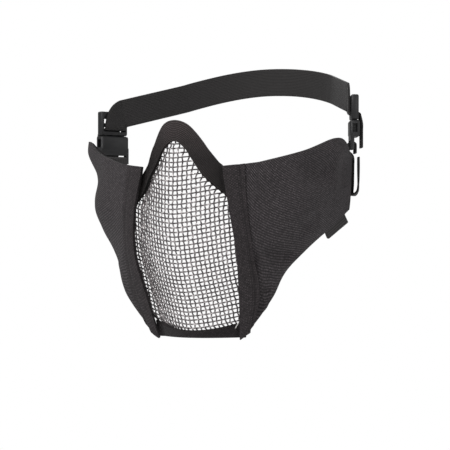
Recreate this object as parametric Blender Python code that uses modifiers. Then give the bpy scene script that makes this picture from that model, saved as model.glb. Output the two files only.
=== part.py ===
"""Half-face mask: a formed wire-mesh muzzle between two padded cloth cheek panels, on a strap round the head.

Metres, +Z up. The face looks along -Y and +X is the wearer's left. The origin is where the inner face of the
nose band rests on the bridge of the nose, level with the band's upper edge.
"""

import math

import bmesh
import bpy
from mathutils import Matrix, Vector

# Overall sizes
MASK_HEIGHT = 0.147
HALF_WIDTH = 0.093
MASK_DEPTH = 0.092
BRIDGE_RADIUS = 0.005

# Cloth and wire
PAD_THICKNESS = 0.004
HEM_THICKNESS = 0.002
HEM_WIDTH = 0.008
BAND_THICKNESS = 0.002
STRIP_THICKNESS = 0.0018
TUCK = 0.005
STRIP_TUCK = 0.002
CLOTH_ROUNDING = 0.3
GRID_BAR = 0.0017
GRID_PITCH = 0.009
SMALLEST_GAP = 0.0025
RIM_GAP = 0.0022
WIRE_SLACK = 0.0028
CLEARANCE = 0.0003
STRAP_CLEARANCE = 0.00045
TAB_CLEARANCE = 0.00075

# Head strap and the webbing it is made of. Round the back it lies on an ellipse, open for the wearer's head.
STRAP_WIDTH = 0.020
STRAP_THICKNESS = 0.0014
LOOP_HALF_BREADTH = 0.0775
LOOP_HALF_LENGTH = 0.095
LOOP_CENTRE_BACK = 0.088
STRAP_BEND_RADIUS = 0.0106
STRAP_BACK_HEIGHT = 0.036
STRAP_RISE_SHARE = 0.47
STRAP_JOINS_LOOP = 41
STRAP_LEVEL = 79
TAIL_LENGTH = 0.022
TAIL_STANDS_OFF = 0.0012

# Side-release buckle, with heights from its middle
BUCKLE_TURN = 22
BUCKLE_WIDTH = 0.0262
LADDER_WIDTH = 0.0252
ARM_WIDTH = 0.0034
BODY_THICKNESS = 0.0070
BODY_TOP = 0.0025
BODY_STEP = -0.0090
BODY_BOTTOM = -0.0175
PRONG_THICKNESS = 0.0052
PRONG_TOP = 0.0200
FRAME_THICKNESS = 0.0026
FRAME_BAR = 0.0028
SLOT_HEIGHT = 0.0032
SLOT_SPARE = 0.0012
POCKET_WALL = 0.0008
MOULDING_ROUNDING = 0.22
CUT_OVERRUN = 1.2

# Lower tab
TAB_THICKNESS = 0.0026
TAB_OUT = 0.0105
TAB_HELD = 0.0080
TAB_STATIONS = (3.08, 3.95)
TAB_FLARE_SHARE = 0.38
TAB_SKEW_SHARE = 0.35

# The muzzle's middle line: height down the mask, how far back of the bridge, and how squarely the muzzle is
# rounded towards the sides
FACE_LINE = (
    # down of MASK_HEIGHT, back of MASK_DEPTH, roundness
    (0.000, 0.000, 1.15),
    (0.095, -0.016, 1.18),
    (0.204, -0.026, 1.22),
    (0.320, -0.034, 1.28),
    (0.450, -0.031, 1.33),
    (0.600, 0.028, 1.36),
    (0.714, 0.105, 1.40),
    (0.857, 0.235, 1.45),
    (1.000, 0.345, 1.50),
)
# How much rounder than a plain slope the band falls away to the sides, at the top of the mesh
BRIDGE_ROUNDNESS = 1.5

# Outer skin of a cheek panel. Each row is a level section through five stations: the front edge beside the
# mesh, the cheek, the side of the jaw, the ear and the rear edge of the wing.
CHEEK_SECTIONS = (
    # down of MASK_HEIGHT, then five outs of HALF_WIDTH, then five backs of MASK_DEPTH
    (0.068, 0.296, 0.559, 0.828, 1.008, 1.002, 0.178, 0.304, 0.467, 0.707, 1.000),
    (0.136, 0.301, 0.559, 0.823, 1.008, 1.002, 0.166, 0.288, 0.467, 0.717, 1.000),
    (0.231, 0.312, 0.559, 0.806, 0.950, 1.000, 0.157, 0.270, 0.473, 0.739, 1.000),
    (0.408, 0.363, 0.570, 0.817, 0.925, 0.987, 0.150, 0.253, 0.440, 0.745, 0.984),
    (0.599, 0.390, 0.574, 0.748, 0.832, 0.903, 0.215, 0.332, 0.609, 0.804, 1.000),
    (0.789, 0.360, 0.578, 0.640, 0.718, 0.796, 0.348, 0.451, 0.598, 0.783, 0.978),
    (1.000, 0.317, 0.430, 0.516, 0.624, 0.710, 0.495, 0.522, 0.609, 0.761, 0.935),
)
STATIONS = 5
STATION_STEP_SHARE = 0.02
SLOPE_STEP = 0.001

# Where the panel is cut off above and below at each station
CHEEK_OUTLINE = (
    # station, upper edge and lower edge down of MASK_HEIGHT
    (0.0, 0.207, 1.000),
    (0.4, 0.200, 0.965),
    (0.7, 0.193, 0.905),
    (1.0, 0.185, 0.818),
    (2.0, 0.133, 0.612),
    (3.0, 0.073, 0.503),
    (4.0, 0.145, 0.401),
)

# Soft creases pressed into a panel's face
CHEEK_CREASES = (
    # station, down of MASK_HEIGHT, reach in stations, reach of MASK_HEIGHT, depth of PAD_THICKNESS
    (1.30, 0.630, 0.55, 0.050, 0.45),
    (2.20, 0.400, 0.80, 0.090, 0.30),
    (0.95, 0.860, 0.45, 0.045, 0.30),
)

# The nose band from the bridge to the end of a leg, by its upper and its lower edge
NOSE_BAND = (
    # place along, upper edge down and out, lower edge down and out: of MASK_HEIGHT and HALF_WIDTH
    (0, 0.000, 0.000, 0.095, 0.000),
    (1, 0.014, 0.082, 0.128, 0.084),
    (2, 0.056, 0.146, 0.193, 0.146),
    (3, 0.141, 0.230, 0.259, 0.220),
    (4, 0.214, 0.302, 0.330, 0.318),
    (5, 0.262, 0.362, 0.372, 0.385),
)
# How far back the band's lower edge lies beside the mesh
BAND_EDGE_BACK = (
    # down of MASK_HEIGHT, back of MASK_DEPTH
    (0.193, 0.024),
    (0.259, 0.054),
)

# The middle of each buckle. The wearer's right one sits lower on its webbing.
BUCKLE_PLACES = {
    # side: out, back and up, of HALF_WIDTH, MASK_DEPTH and BUCKLE_WIDTH
    1: (0.982, 1.080, 0.0),
    -1: (1.005, 1.114, -0.30),
}

# The webbing behind each wing, below the buckle's bar: down the wing's inside and folded back up outside it.
REAR_WEBS = {
    # side: outwards and rearwards of the buckle's middle and up of the bridge, of STRAP_WIDTH, then the turn
    1: (
        (-0.206, -0.02, -1.10, -2),
        (-0.257, -0.14, -1.50, -9),
        (-0.267, -0.14, -2.10, -9),
        (-0.225, 0.10, -2.36, -4),
        (-0.060, 0.17, -2.44, 8),
        (0.090, 0.18, -2.37, 16),
        (0.155, 0.18, -2.17, 18),
        (0.165, 0.20, -1.60, 20),
        (0.165, 0.21, -1.13, 20),
    ),
    -1: (
        (-0.345, 0.05, -1.62, 2),
        (-0.390, -0.24, -2.10, -9),
        (-0.340, 0.00, -2.36, -4),
        (-0.120, 0.05, -2.44, 8),
        (0.060, 0.06, -2.37, 16),
        (0.115, 0.08, -2.17, 18),
        (0.115, 0.10, -1.70, 20),
    ),
}

# How far the mesh runs under the panels, down to its lower edge under the chin strip
MESH_TOP_SHARE = 0.045
MESH_TOP_HALF_WIDTH = 0.006
MESH_TUCK = (
    # down of MASK_HEIGHT, out past the panel's front edge of TUCK
    (0.330, 1.0),
    (0.500, 1.0),
    (0.630, 1.0),
    (0.880, 1.0),
    (0.940, 0.2),
    (0.976, -0.8),
)

STRIP_TOP_SHARE = 0.959
STRIP_RISE_SHARE = 0.037
STRIP_BOTTOM_SHARE = 0.993

BRIDGE_FRONT = -BAND_THICKNESS
BAND_APEX = NOSE_BAND[0][3]
BAND_MEETS_CHEEK = NOSE_BAND[-2][3]
BAND_ENDS = NOSE_BAND[-1][3]


def interpolate(rows, at):
    """The columns after the first, on a smooth curve through the rows, where the first column is at."""
    at = min(max(at, rows[0][0]), rows[-1][0])
    i = max(k for k in range(len(rows) - 1) if rows[k][0] <= at)
    knots = [row[0] for row in rows]
    span = knots[i + 1] - knots[i]
    t = (at - knots[i]) / span

    def slope(k, column):
        low, high = max(k - 1, 0), min(k + 1, len(rows) - 1)
        return (rows[high][column] - rows[low][column]) / (knots[high] - knots[low])

    values = []
    for column in range(1, len(rows[0])):
        start, end = rows[i][column], rows[i + 1][column]
        leave, arrive = slope(i, column) * span, slope(i + 1, column) * span
        values.append(
            start * (2 * t**3 - 3 * t**2 + 1)
            + leave * (t**3 - 2 * t**2 + t)
            + end * (3 * t**2 - 2 * t**3)
            + arrive * (t**3 - t**2)
        )
    return values


def ramp(t):
    """0 before 0, 1 after 1, and a smooth rise between."""
    t = min(max(t, 0.0), 1.0)
    return t * t * (3 - 2 * t)


def between(a, b, t):
    return a + (b - a) * t


def cheek_skin(station, down):
    """A point of the cheek panel's outer skin on the wearer's left."""
    columns = interpolate(CHEEK_SECTIONS, down)
    section = [(k, columns[k], columns[STATIONS + k]) for k in range(STATIONS)]
    out, back = interpolate(section, station)
    return Vector((out * HALF_WIDTH, BRIDGE_FRONT + back * MASK_DEPTH, -down * MASK_HEIGHT))


def cheek_normal(station, down):
    """Outward normal of the cheek skin."""
    step = STATION_STEP_SHARE
    station = min(station, STATIONS - 1 - step)
    along = cheek_skin(station + step, down) - cheek_skin(max(station - step, 0), down)
    drop = cheek_skin(station, down + step) - cheek_skin(station, down - step)
    return drop.cross(along).normalized()


def cheek_front_out(down):
    return cheek_skin(0, down).x


def cheek_back(out, down):
    """How far back the cheek skin lies at a distance out from the middle, near its front edge."""
    low, high = STATION_STEP_SHARE, STATIONS / 2
    edge, beside = cheek_skin(0, down), cheek_skin(low, down)
    if out <= beside.x:
        return between(edge.y, beside.y, (out - edge.x) / (beside.x - edge.x))
    while high - low > STATION_STEP_SHARE**3:
        middle = (low + high) / 2
        if cheek_skin(middle, down).x < out:
            low = middle
        else:
            high = middle
    return cheek_skin(low, down).y


def leaning(back, out, down):
    """How much longer a depth is along Y than square to a surface, given the function of its backs."""
    across = (back(out + SLOPE_STEP, down) - back(out - SLOPE_STEP, down)) / (2 * SLOPE_STEP)
    share = SLOPE_STEP / MASK_HEIGHT
    drop = (back(out, down + share) - back(out, down - share)) / (2 * SLOPE_STEP)
    return math.sqrt(1 + across**2 + drop**2)


def under_cheek(out, down):
    """How far back the inner face of a panel's hem lies, with its clearance."""
    depth = HEM_THICKNESS + CLEARANCE
    return cheek_back(out, down) + depth * leaning(cheek_back, out, down)


def soft(out):
    """A distance from the middle, eased where the surface is rounded over the bridge."""
    return math.hypot(out, BRIDGE_RADIUS) - BRIDGE_RADIUS


def window_edge(down):
    """The mesh window's edge as (out, back): beside the nose band above, and beside a panel's hem below."""
    if down >= BAND_MEETS_CHEEK:
        out = cheek_front_out(down) - RIM_GAP
        return out, under_cheek(out, down)
    if down <= BAND_APEX:
        return 0.0, face_back(down)
    meeting = cheek_front_out(BAND_MEETS_CHEEK) - RIM_GAP
    lower_edge = [(row[3], row[4] * HALF_WIDTH) for row in NOSE_BAND[:-2]]
    lower_edge.append((BAND_MEETS_CHEEK, meeting))
    backs = [(BAND_APEX, face_back(BAND_APEX))]
    backs += [(row[0], BRIDGE_FRONT + row[1] * MASK_DEPTH) for row in BAND_EDGE_BACK]
    backs.append((BAND_MEETS_CHEEK, under_cheek(meeting, BAND_MEETS_CHEEK)))
    return interpolate(lower_edge, down)[0], interpolate(backs, down)[0]


def face_back(down):
    back, _ = interpolate(FACE_LINE, down)
    return BRIDGE_FRONT + back * MASK_DEPTH


def front_back(out, down):
    """How far back the front skin lies: mesh, nose band and chin strip, then what lies under the panels."""
    out = abs(out)
    hem_out = cheek_front_out(down) - RIM_GAP
    if out >= hem_out:
        return under_cheek(out, down)
    edge_out, edge_back = window_edge(down)
    if out < edge_out:
        _, roundness = interpolate(FACE_LINE, down)
        share = (soft(out) / soft(edge_out)) ** roundness
        return between(face_back(down), edge_back, share)
    share = (soft(out) - soft(edge_out)) / (soft(hem_out) - soft(edge_out))
    below_apex = (down - BAND_APEX) / (BAND_MEETS_CHEEK - BAND_APEX)
    roundness = between(BRIDGE_ROUNDNESS, 1.0, ramp(below_apex))
    return between(edge_back, under_cheek(hem_out, down), share**roundness)


def front_skin(out, down, depth=0.0):
    """A point of the front skin, or of what lies a depth inside it."""
    back = front_back(out, down)
    if depth:
        back += depth * leaning(front_back, abs(out), down)
    return Vector((out, back, -down * MASK_HEIGHT))


def mesh_depth(out, down):
    """How deep the middle of the mesh lies inside the front skin: it dips under the cloth all round."""
    edge_out, _ = window_edge(down)
    inside = edge_out - abs(out)
    under_hem = ramp(1 - inside / GRID_PITCH)
    if down < BAND_MEETS_CHEEK:
        under_band = ramp(1 - (inside - RIM_GAP) / GRID_PITCH)
    else:
        under_band = under_hem * (1 - ramp((down - BAND_ENDS) * MASK_HEIGHT / GRID_PITCH))
    under_strip = ramp(1 + (down - strip_upper(out, down)) * MASK_HEIGHT / GRID_PITCH)
    cover = max(BAND_THICKNESS * under_band, STRIP_THICKNESS * under_strip)
    return GRID_BAR / 2 + cover + WIRE_SLACK * max(under_band, under_strip, under_hem)


def strip_upper(out, down):
    """The chin strip's upper edge, which rises towards the panels."""
    return STRIP_TOP_SHARE - STRIP_RISE_SHARE * (out / cheek_front_out(down)) ** 2


def collection(name):
    made = bpy.data.collections.new(name)
    bpy.context.scene.collection.children.link(made)
    return made


def material(name, colour, roughness, metallic=0.0):
    made = bpy.data.materials.new(name)
    made.use_nodes = True
    shader = made.node_tree.nodes["Principled BSDF"]
    shader.inputs["Base Color"].default_value = (*colour, 1.0)
    shader.inputs["Roughness"].default_value = roughness
    shader.inputs["Metallic"].default_value = metallic
    made.diffuse_color = (*colour, 1.0)
    return made


def mesh_object(name, bm, finish, group):
    data = bpy.data.meshes.new(name)
    bm.to_mesh(data)
    bm.free()
    made = bpy.data.objects.new(name, data)
    group.objects.link(made)
    if finish:
        data.materials.append(finish)
        data.shade_smooth()
        data.set_sharp_from_angle(angle=math.radians(40))
    return made


def surface(name, columns, rows, place, finish, flip=False):
    """An open sheet. place(along, up) gives the point at two shares of the sheet, each from 0 to 1."""
    bm = bmesh.new()
    bmesh.ops.create_grid(bm, x_segments=columns, y_segments=rows, size=0.5)
    for vertex in bm.verts:
        vertex.co = place(vertex.co.x + 0.5, vertex.co.y + 0.5)
    if flip:
        bmesh.ops.reverse_faces(bm, faces=bm.faces)
    return mesh_object(name, bm, finish, MASK)


def thicken(piece, thickness, offset=-1.0):
    wall = piece.modifiers.new("Wall", "SOLIDIFY")
    wall.thickness = thickness
    wall.offset = offset
    wall.use_even_offset = True
    wall.use_rim = True
    return wall


def round_edges(piece, width, segments=1):
    edge = piece.modifiers.new("Edge", "BEVEL")
    edge.width = width
    edge.segments = segments
    edge.limit_method = "ANGLE"
    edge.angle_limit = math.radians(50)


def crease_depth(station, down):
    depth = 0.0
    for middle, height, reach, drop, share in CHEEK_CREASES:
        away = math.hypot((station - middle) / reach, (down - height) / drop)
        depth += share * PAD_THICKNESS * (1 - ramp(away))
    return depth


def cheek_panel(side, label, finish):
    """A padded panel: a thin hem beside the mesh, then the pad, out to the wing's lobe over the ear."""
    hem_columns, pad_columns, rows = 2, 14, 13
    columns = hem_columns + pad_columns
    middle_down = sum(CHEEK_OUTLINE[0][1:]) / 2
    hem_end = HEM_WIDTH / (cheek_skin(1, middle_down) - cheek_skin(0, middle_down)).length

    def place(along, up):
        column = along * columns
        if column <= hem_columns:
            station = hem_end * column / hem_columns
        else:
            station = between(hem_end, STATIONS - 1, (column - hem_columns) / pad_columns)
        upper, lower = interpolate(CHEEK_OUTLINE, station)
        down = between(lower, upper, up)
        point = cheek_skin(station, down) - cheek_normal(station, down) * crease_depth(station, down)
        return Vector((side * point.x, point.y, point.z))

    panel = surface(label + "_cheek_panel", columns, rows, place, finish, flip=side < 0)
    pad = panel.vertex_groups.new(name="pad")
    for vertex in panel.data.vertices:
        column = vertex.index % (columns + 1)
        pad.add([vertex.index], 1.0 if column > hem_columns else 0.0, "REPLACE")
    wall = thicken(panel, PAD_THICKNESS)
    wall.vertex_group = pad.name
    wall.thickness_vertex_group = HEM_THICKNESS / PAD_THICKNESS
    round_edges(panel, HEM_THICKNESS * CLOTH_ROUNDING, segments=2)


def over_the_bridge():
    """The nose band's rows with one from the wearer's right, so that a curve through them crosses over level."""
    along, upper_down, upper_out, lower_down, lower_out = NOSE_BAND[1]
    return ((-along, upper_down, -upper_out, lower_down, -lower_out),) + NOSE_BAND


def nose_band(finish):
    """A band bent over the bridge, whose two legs run down beside the mesh and under the panels."""
    rows = over_the_bridge()

    def place(along, up):
        signed = 2 * along - 1
        along_leg = abs(signed) * rows[-1][0]
        upper_down, upper_out, lower_down, lower_out = interpolate(rows, along_leg)
        down = between(lower_down, upper_down, up)
        out = between(lower_out, upper_out, up) * HALF_WIDTH
        return front_skin(math.copysign(out, signed), down, CLEARANCE / 2)

    band = surface("nose_band", 24, 4, place, finish)
    thicken(band, BAND_THICKNESS)
    round_edges(band, BAND_THICKNESS * CLOTH_ROUNDING)


def chin_strip(finish):
    """A folded cloth strip across the chin, over the mesh's lower edge, its ends under the panels."""

    def place(along, up):
        signed = 2 * along - 1
        middle = between(STRIP_BOTTOM_SHARE, STRIP_TOP_SHARE, up)
        out = signed * (cheek_front_out(middle) + STRIP_TUCK)
        down = between(STRIP_BOTTOM_SHARE, strip_upper(out, middle), up)
        return front_skin(out, down, CLEARANCE)

    strip = surface("chin_strip", 16, 2, place, finish)
    thicken(strip, STRIP_THICKNESS)
    round_edges(strip, STRIP_THICKNESS * CLOTH_ROUNDING)


def mesh_panel(finish):
    """The wire muzzle, as an open grid of bars cut to the window with a tuck under the cloth round it."""
    columns, rows = 10, 15
    bm = bmesh.new()
    bmesh.ops.create_grid(bm, x_segments=columns, y_segments=rows, size=0.5)
    upper, lower = MESH_TOP_SHARE, MESH_TUCK[-1][0]
    for vertex in bm.verts:
        vertex.co.x *= columns * GRID_PITCH
        vertex.co.y = -between(upper, lower, 0.5 - vertex.co.y) * MASK_HEIGHT
    corners = [Vector((MESH_TOP_HALF_WIDTH, -upper * MASK_HEIGHT, 0))]
    for down, tuck in MESH_TUCK:
        corners.append(Vector((cheek_front_out(down) + tuck * TUCK, -down * MASK_HEIGHT, 0)))
    for start, end in zip(corners, corners[1:]):
        run = end - start
        for side in (1, -1):
            bmesh.ops.bisect_plane(
                bm,
                geom=bm.verts[:] + bm.edges[:] + bm.faces[:],
                dist=1e-6,
                plane_co=Vector((side * start.x, start.y, 0)),
                plane_no=Vector((-side * run.y, run.x, 0)),
                clear_outer=True,
            )
    bmesh.ops.remove_doubles(bm, verts=bm.verts, dist=SMALLEST_GAP)
    for vertex in bm.verts:
        out, down = vertex.co.x, -vertex.co.y / MASK_HEIGHT
        vertex.co = front_skin(out, down, mesh_depth(out, down))
    grid = mesh_object("mesh_panel", bm, finish, MASK)
    bars = grid.modifiers.new("Bars", "WIREFRAME")
    bars.thickness = GRID_BAR
    bars.offset = 0
    bars.use_even_offset = True
    bars.use_boundary = True
    bars.use_replace = True


def ribbon(name, stations, finish, flip=False):
    """A flat strap through stations, each a middle point and the direction across the strap."""
    last = len(stations) - 1

    def place(along, up):
        middle, across = stations[round(along * last)]
        return middle + across * STRAP_WIDTH * (up - 0.5)

    strap = surface(name, last, 1, place, finish, flip)
    thicken(strap, STRAP_THICKNESS, offset=0.0)


def arc(middle, radius, start, end):
    """Points (inwards, up) round an arc, between two angles in degrees, with both ends."""
    steps = 3
    angles = [math.radians(between(start, end, k / steps)) for k in range(steps + 1)]
    return [(middle[0] + radius * math.cos(a), middle[1] + radius * math.sin(a)) for a in angles]


def in_plan(turn):
    """The outward and the rearward direction of a piece turned inwards in plan, on the wearer's left."""
    turn = math.radians(turn)
    return Vector((math.cos(turn), math.sin(turn), 0)), Vector((-math.sin(turn), math.cos(turn), 0))


def buckle_middle(side):
    """The middle of a buckle, as if on the wearer's left."""
    out, back, up = BUCKLE_PLACES[side]
    return Vector((out * HALF_WIDTH, back * MASK_DEPTH, up * BUCKLE_WIDTH))


def at_buckle(side, outwards, rearwards, up):
    """A place given from the middle of a buckle, as if on the wearer's left."""
    outward, rearward = in_plan(BUCKLE_TURN)
    return buckle_middle(side) + outward * outwards + rearward * rearwards + Vector((0, 0, up))


def mirrored(stations, side):
    turned = Matrix.Diagonal((side, 1, 1))
    return [(turned @ middle, turned @ across) for middle, across in stations]


def buckle_seat(side):
    """The place of a buckle's middle: local X across it, local -Y outwards, local Z up."""
    turn = math.radians(90 + BUCKLE_TURN)
    middle = buckle_middle(side)
    return Matrix.Translation((side * middle.x, middle.y, middle.z)) @ Matrix.Rotation(side * turn, 4, "Z")


def block(name, size, middle, finish, group):
    bm = bmesh.new()
    bmesh.ops.create_cube(bm, size=1.0)
    bmesh.ops.scale(bm, vec=size, verts=bm.verts)
    bmesh.ops.translate(bm, vec=middle, verts=bm.verts)
    return mesh_object(name, bm, finish, group)


def combine(piece, other, operation):
    """Joins another solid to a piece, or cuts it out, and keeps it as a hidden guide."""
    other.hide_render = True
    other.display_type = "WIRE"
    other.parent = piece.parent
    step = piece.modifiers.new(other.name, "BOOLEAN")
    step.operation = operation
    step.object = other
    step.solver = "EXACT"


def ladder_slots():
    """The lower edges of the ladder's two slots."""
    lower = BODY_TOP + CLEARANCE + FRAME_BAR
    return lower, lower + SLOT_HEIGHT + FRAME_BAR


def slot_cutter(name, low, thickness):
    size = (STRAP_WIDTH + SLOT_SPARE, thickness * CUT_OVERRUN, SLOT_HEIGHT)
    return block(name, size, (0, 0, low + SLOT_HEIGHT / 2), None, CUTTERS)


def buckle_body(label, seat, finish):
    """The socket half: a flat box with a pocket and side windows, and below it a frame for the webbing."""
    height = BODY_TOP - BODY_STEP
    size = (BUCKLE_WIDTH, BODY_THICKNESS, height)
    body = block(label + "_buckle_body", size, (0, 0, BODY_TOP - height / 2), finish, MASK)
    body.parent = seat
    round_edges(body, BODY_THICKNESS * MOULDING_ROUNDING, segments=2)
    frame_height = BODY_STEP - BODY_BOTTOM + FRAME_BAR
    size = (BUCKLE_WIDTH, FRAME_THICKNESS, frame_height)
    middle = (0, frame_inward(), BODY_BOTTOM + frame_height / 2)
    combine(body, block(label + "_web_frame", size, middle, None, CUTTERS), "UNION")
    pocket_thickness = PRONG_THICKNESS - 2 * POCKET_WALL
    pocket_low, pocket_high = BODY_STEP + FRAME_BAR, BODY_TOP + FRAME_BAR
    size = (BUCKLE_WIDTH - 2 * FRAME_BAR, pocket_thickness, pocket_high - pocket_low)
    middle = (0, 0, (pocket_high + pocket_low) / 2)
    combine(body, block(label + "_pocket", size, middle, None, CUTTERS), "DIFFERENCE")
    window_height = height - 2 * FRAME_BAR
    size = (BUCKLE_WIDTH * CUT_OVERRUN, pocket_thickness - CLEARANCE, window_height)
    middle = (0, 0, pocket_low + CLEARANCE + window_height / 2)
    combine(body, block(label + "_window", size, middle, None, CUTTERS), "DIFFERENCE")
    combine(body, slot_cutter(label + "_web_slot", BODY_BOTTOM + FRAME_BAR, BODY_THICKNESS), "DIFFERENCE")


def frame_inward():
    """How far inwards of the buckle's middle plane the webbing frame lies."""
    return (BODY_THICKNESS - FRAME_THICKNESS) / 2 - POCKET_WALL / 2


def buckle_prong(label, seat, finish):
    """The pronged half, pushed home: a ladder of two slots above, and a tongue and two arms in the pocket."""
    bottom = BODY_TOP + CLEARANCE
    height = PRONG_TOP - bottom
    size = (LADDER_WIDTH, PRONG_THICKNESS, height)
    prong = block(label + "_buckle_prong", size, (0, 0, bottom + height / 2), finish, MASK)
    prong.parent = seat
    round_edges(prong, PRONG_THICKNESS * MOULDING_ROUNDING, segments=2)
    for name, low in zip(("_lower_slot", "_upper_slot"), ladder_slots()):
        combine(prong, slot_cutter(label + name, low, PRONG_THICKNESS), "DIFFERENCE")
    arm_out = BUCKLE_WIDTH / 2 - FRAME_BAR - CLEARANCE - ARM_WIDTH / 2
    arm_low = BODY_STEP + FRAME_BAR + CLEARANCE
    arm_high = bottom + FRAME_BAR / 2
    arm_size = (ARM_WIDTH, PRONG_THICKNESS - 2 * (POCKET_WALL + CLEARANCE), arm_high - arm_low)
    for name, across in (("_left_arm", -arm_out), ("_tongue", 0), ("_right_arm", arm_out)):
        arm = block(label + name, arm_size, (across, 0, (arm_high + arm_low) / 2), None, CUTTERS)
        combine(prong, arm, "UNION")


def rear_web(side, label, finish):
    """Webbing behind a wing: round the buckle's bar, down inside the wing and folded back up outside it."""
    bar_top = BODY_BOTTOM + FRAME_BAR
    corner = SLOT_HEIGHT / 2
    aside = FRAME_THICKNESS / 2 + STRAP_CLEARANCE + STRAP_THICKNESS / 2
    inner, outer = frame_inward() + aside, frame_inward() - aside
    path = [(outer, BODY_BOTTOM - FRAME_BAR), (outer, BODY_BOTTOM)]
    path += arc((outer + corner, bar_top), corner, 180, 90)
    path += arc((inner - corner, bar_top), corner, 90, 0)
    path.append((inner, BODY_BOTTOM))
    _, across = in_plan(BUCKLE_TURN)
    stations = [(at_buckle(side, -inward, 0, up), across) for inward, up in path]
    for outwards, rearwards, up, turn in REAR_WEBS[side]:
        place = at_buckle(side, outwards * STRAP_WIDTH, rearwards * STRAP_WIDTH, 0)
        place.z = up * STRAP_WIDTH
        stations.append((place, in_plan(turn)[1]))
    ribbon(label + "_rear_web", mirrored(stations, side), finish, flip=side < 0)


def strap_through_ladder(side):
    """The strap's loose end, and on through the ladder's lower slot to its inner side."""
    corner = SLOT_HEIGHT / 2
    low, _ = ladder_slots()
    beside = PRONG_THICKNESS / 2 + STRAP_CLEARANCE + STRAP_THICKNESS / 2
    off = beside + TAIL_STANDS_OFF
    path = [(-off, low - TAIL_LENGTH * share) for share in (1.0, 0.5, 0.25)]
    path += arc((corner - beside, low), corner, 180, 90)
    path += arc((beside - corner, low + SLOT_HEIGHT), corner, -90, 0)
    _, across = in_plan(BUCKLE_TURN)
    return [(at_buckle(side, -inward, 0, up), across) for inward, up in path]


def on_the_loop(angle, height):
    """A place on the ellipse that the strap follows, at an angle in radians from its widest place."""
    out = LOOP_HALF_BREADTH * math.cos(angle)
    return Vector((out, LOOP_CENTRE_BACK + LOOP_HALF_LENGTH * math.sin(angle), height))


def strap_edgewise_bend(start, final_turn):
    """The strap turning edgewise from upright towards level, and inwards to its final turn in plan."""
    steps = 8
    level = math.radians(STRAP_LEVEL)
    up = Vector((0, 0, 1))

    def heading(share):
        # The turn in plan comes late, so that the strap clears the ladder
        _, rearward = in_plan(between(BUCKLE_TURN, final_turn, share**3))
        return level * share, rearward

    stations, place = [], start
    for k in range(steps):
        angle, rearward = heading((k + 0.5) / steps)
        travel = rearward * math.sin(angle) + up * math.cos(angle)
        place = place + travel * (STRAP_BEND_RADIUS * level / steps)
        angle, rearward = heading((k + 1) / steps)
        stations.append((place, rearward * math.cos(angle) - up * math.sin(angle)))
    return stations


def head_strap_half(side):
    """Stations of one half of the strap, from the loose end to the middle of the back."""
    stations = strap_through_ladder(side)
    start = stations[-1][0]
    joins = math.radians(STRAP_JOINS_LOOP)
    run = on_the_loop(joins, 0) - start
    stations += strap_edgewise_bend(start, math.degrees(math.atan2(-run.x, run.y)))
    leaves = stations[-1][0]
    side_height = between(leaves.z, STRAP_BACK_HEIGHT, STRAP_RISE_SHARE)
    meets = on_the_loop(joins, side_height)
    course = [leaves, between(leaves, meets, 0.5)]
    steps = 10
    for k in range(steps + 1):
        height = between(side_height, STRAP_BACK_HEIGHT, math.sin(math.pi / 2 * k / steps))
        course.append(on_the_loop(between(joins, math.pi / 2, k / steps), height))
    beyond = course[-2].copy()
    beyond.x = -beyond.x
    course.append(beyond)
    for before, middle, after in zip(course, course[1:], course[2:]):
        run = (after - before).normalized()
        outward = Vector((run.y, -run.x, 0)).normalized()
        stations.append((middle, run.cross(outward)))
    return stations


def head_strap(finish):
    """One strap round the back, through the ladder of each buckle, with a loose end outside each."""
    left = head_strap_half(1)
    right = mirrored(head_strap_half(-1)[:-1], -1)
    ribbon("head_strap", left + right[::-1], finish)


def lower_tab(side, label, finish):
    """A folded webbing tab under a wing's lower rear edge, lying against its inner face."""
    first, last = TAB_STATIONS
    length = TAB_HELD + TAB_OUT
    depth = PAD_THICKNESS + TAB_CLEARANCE + TAB_THICKNESS / 2

    def under_wing(along, above):
        station = between(first, last, along)
        down = interpolate(CHEEK_OUTLINE, station)[1] - above / MASK_HEIGHT
        return cheek_skin(station, down) - cheek_normal(station, down) * depth

    edge = (under_wing(1, 0) - under_wing(0, 0)).normalized()
    flare = cheek_normal((first + last) / 2, interpolate(CHEEK_OUTLINE, last)[1]) * TAB_FLARE_SHARE

    def place(along, up):
        above = up * length - TAB_OUT
        if above < 0:
            leaves = under_wing(along, 0)
            outwards = (leaves - under_wing(along, TAB_HELD)).normalized()
            point = leaves + (outwards + edge * TAB_SKEW_SHARE + flare) * -above
        else:
            point = under_wing(along, above)
        return Vector((side * point.x, point.y, point.z))

    tab = surface(label + "_lower_tab", 5, 4, place, finish, flip=side < 0)
    thicken(tab, TAB_THICKNESS, offset=0.0)
    round_edges(tab, TAB_THICKNESS * CLOTH_ROUNDING)


def charcoal_cloth():
    return material("charcoal_cloth", (0.045, 0.041, 0.042), 0.85)


def black_webbing():
    return material("black_webbing", (0.022, 0.020, 0.020), 0.8)


def black_elastic():
    return material("black_elastic", (0.020, 0.018, 0.018), 0.8)


def black_wire():
    return material("black_wire", (0.050, 0.047, 0.048), 0.4, metallic=0.8)


def black_plastic():
    return material("black_plastic", (0.030, 0.030, 0.031), 0.45)


def buckle(side, label, finish):
    """Both halves of a buckle, parented to an empty at its middle."""
    seat = bpy.data.objects.new(label + "_buckle_seat", None)
    seat.matrix_world = buckle_seat(side)
    MASK.objects.link(seat)
    buckle_body(label, seat, finish)
    buckle_prong(label, seat, finish)


def build():
    cloth, webbing, plastic = charcoal_cloth(), black_webbing(), black_plastic()
    mesh_panel(black_wire())
    nose_band(webbing)
    chin_strip(webbing)
    head_strap(black_elastic())
    for side, label in ((1, "left"), (-1, "right")):
        cheek_panel(side, label, cloth)
        lower_tab(side, label, webbing)
        rear_web(side, label, webbing)
        buckle(side, label, plastic)


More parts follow.
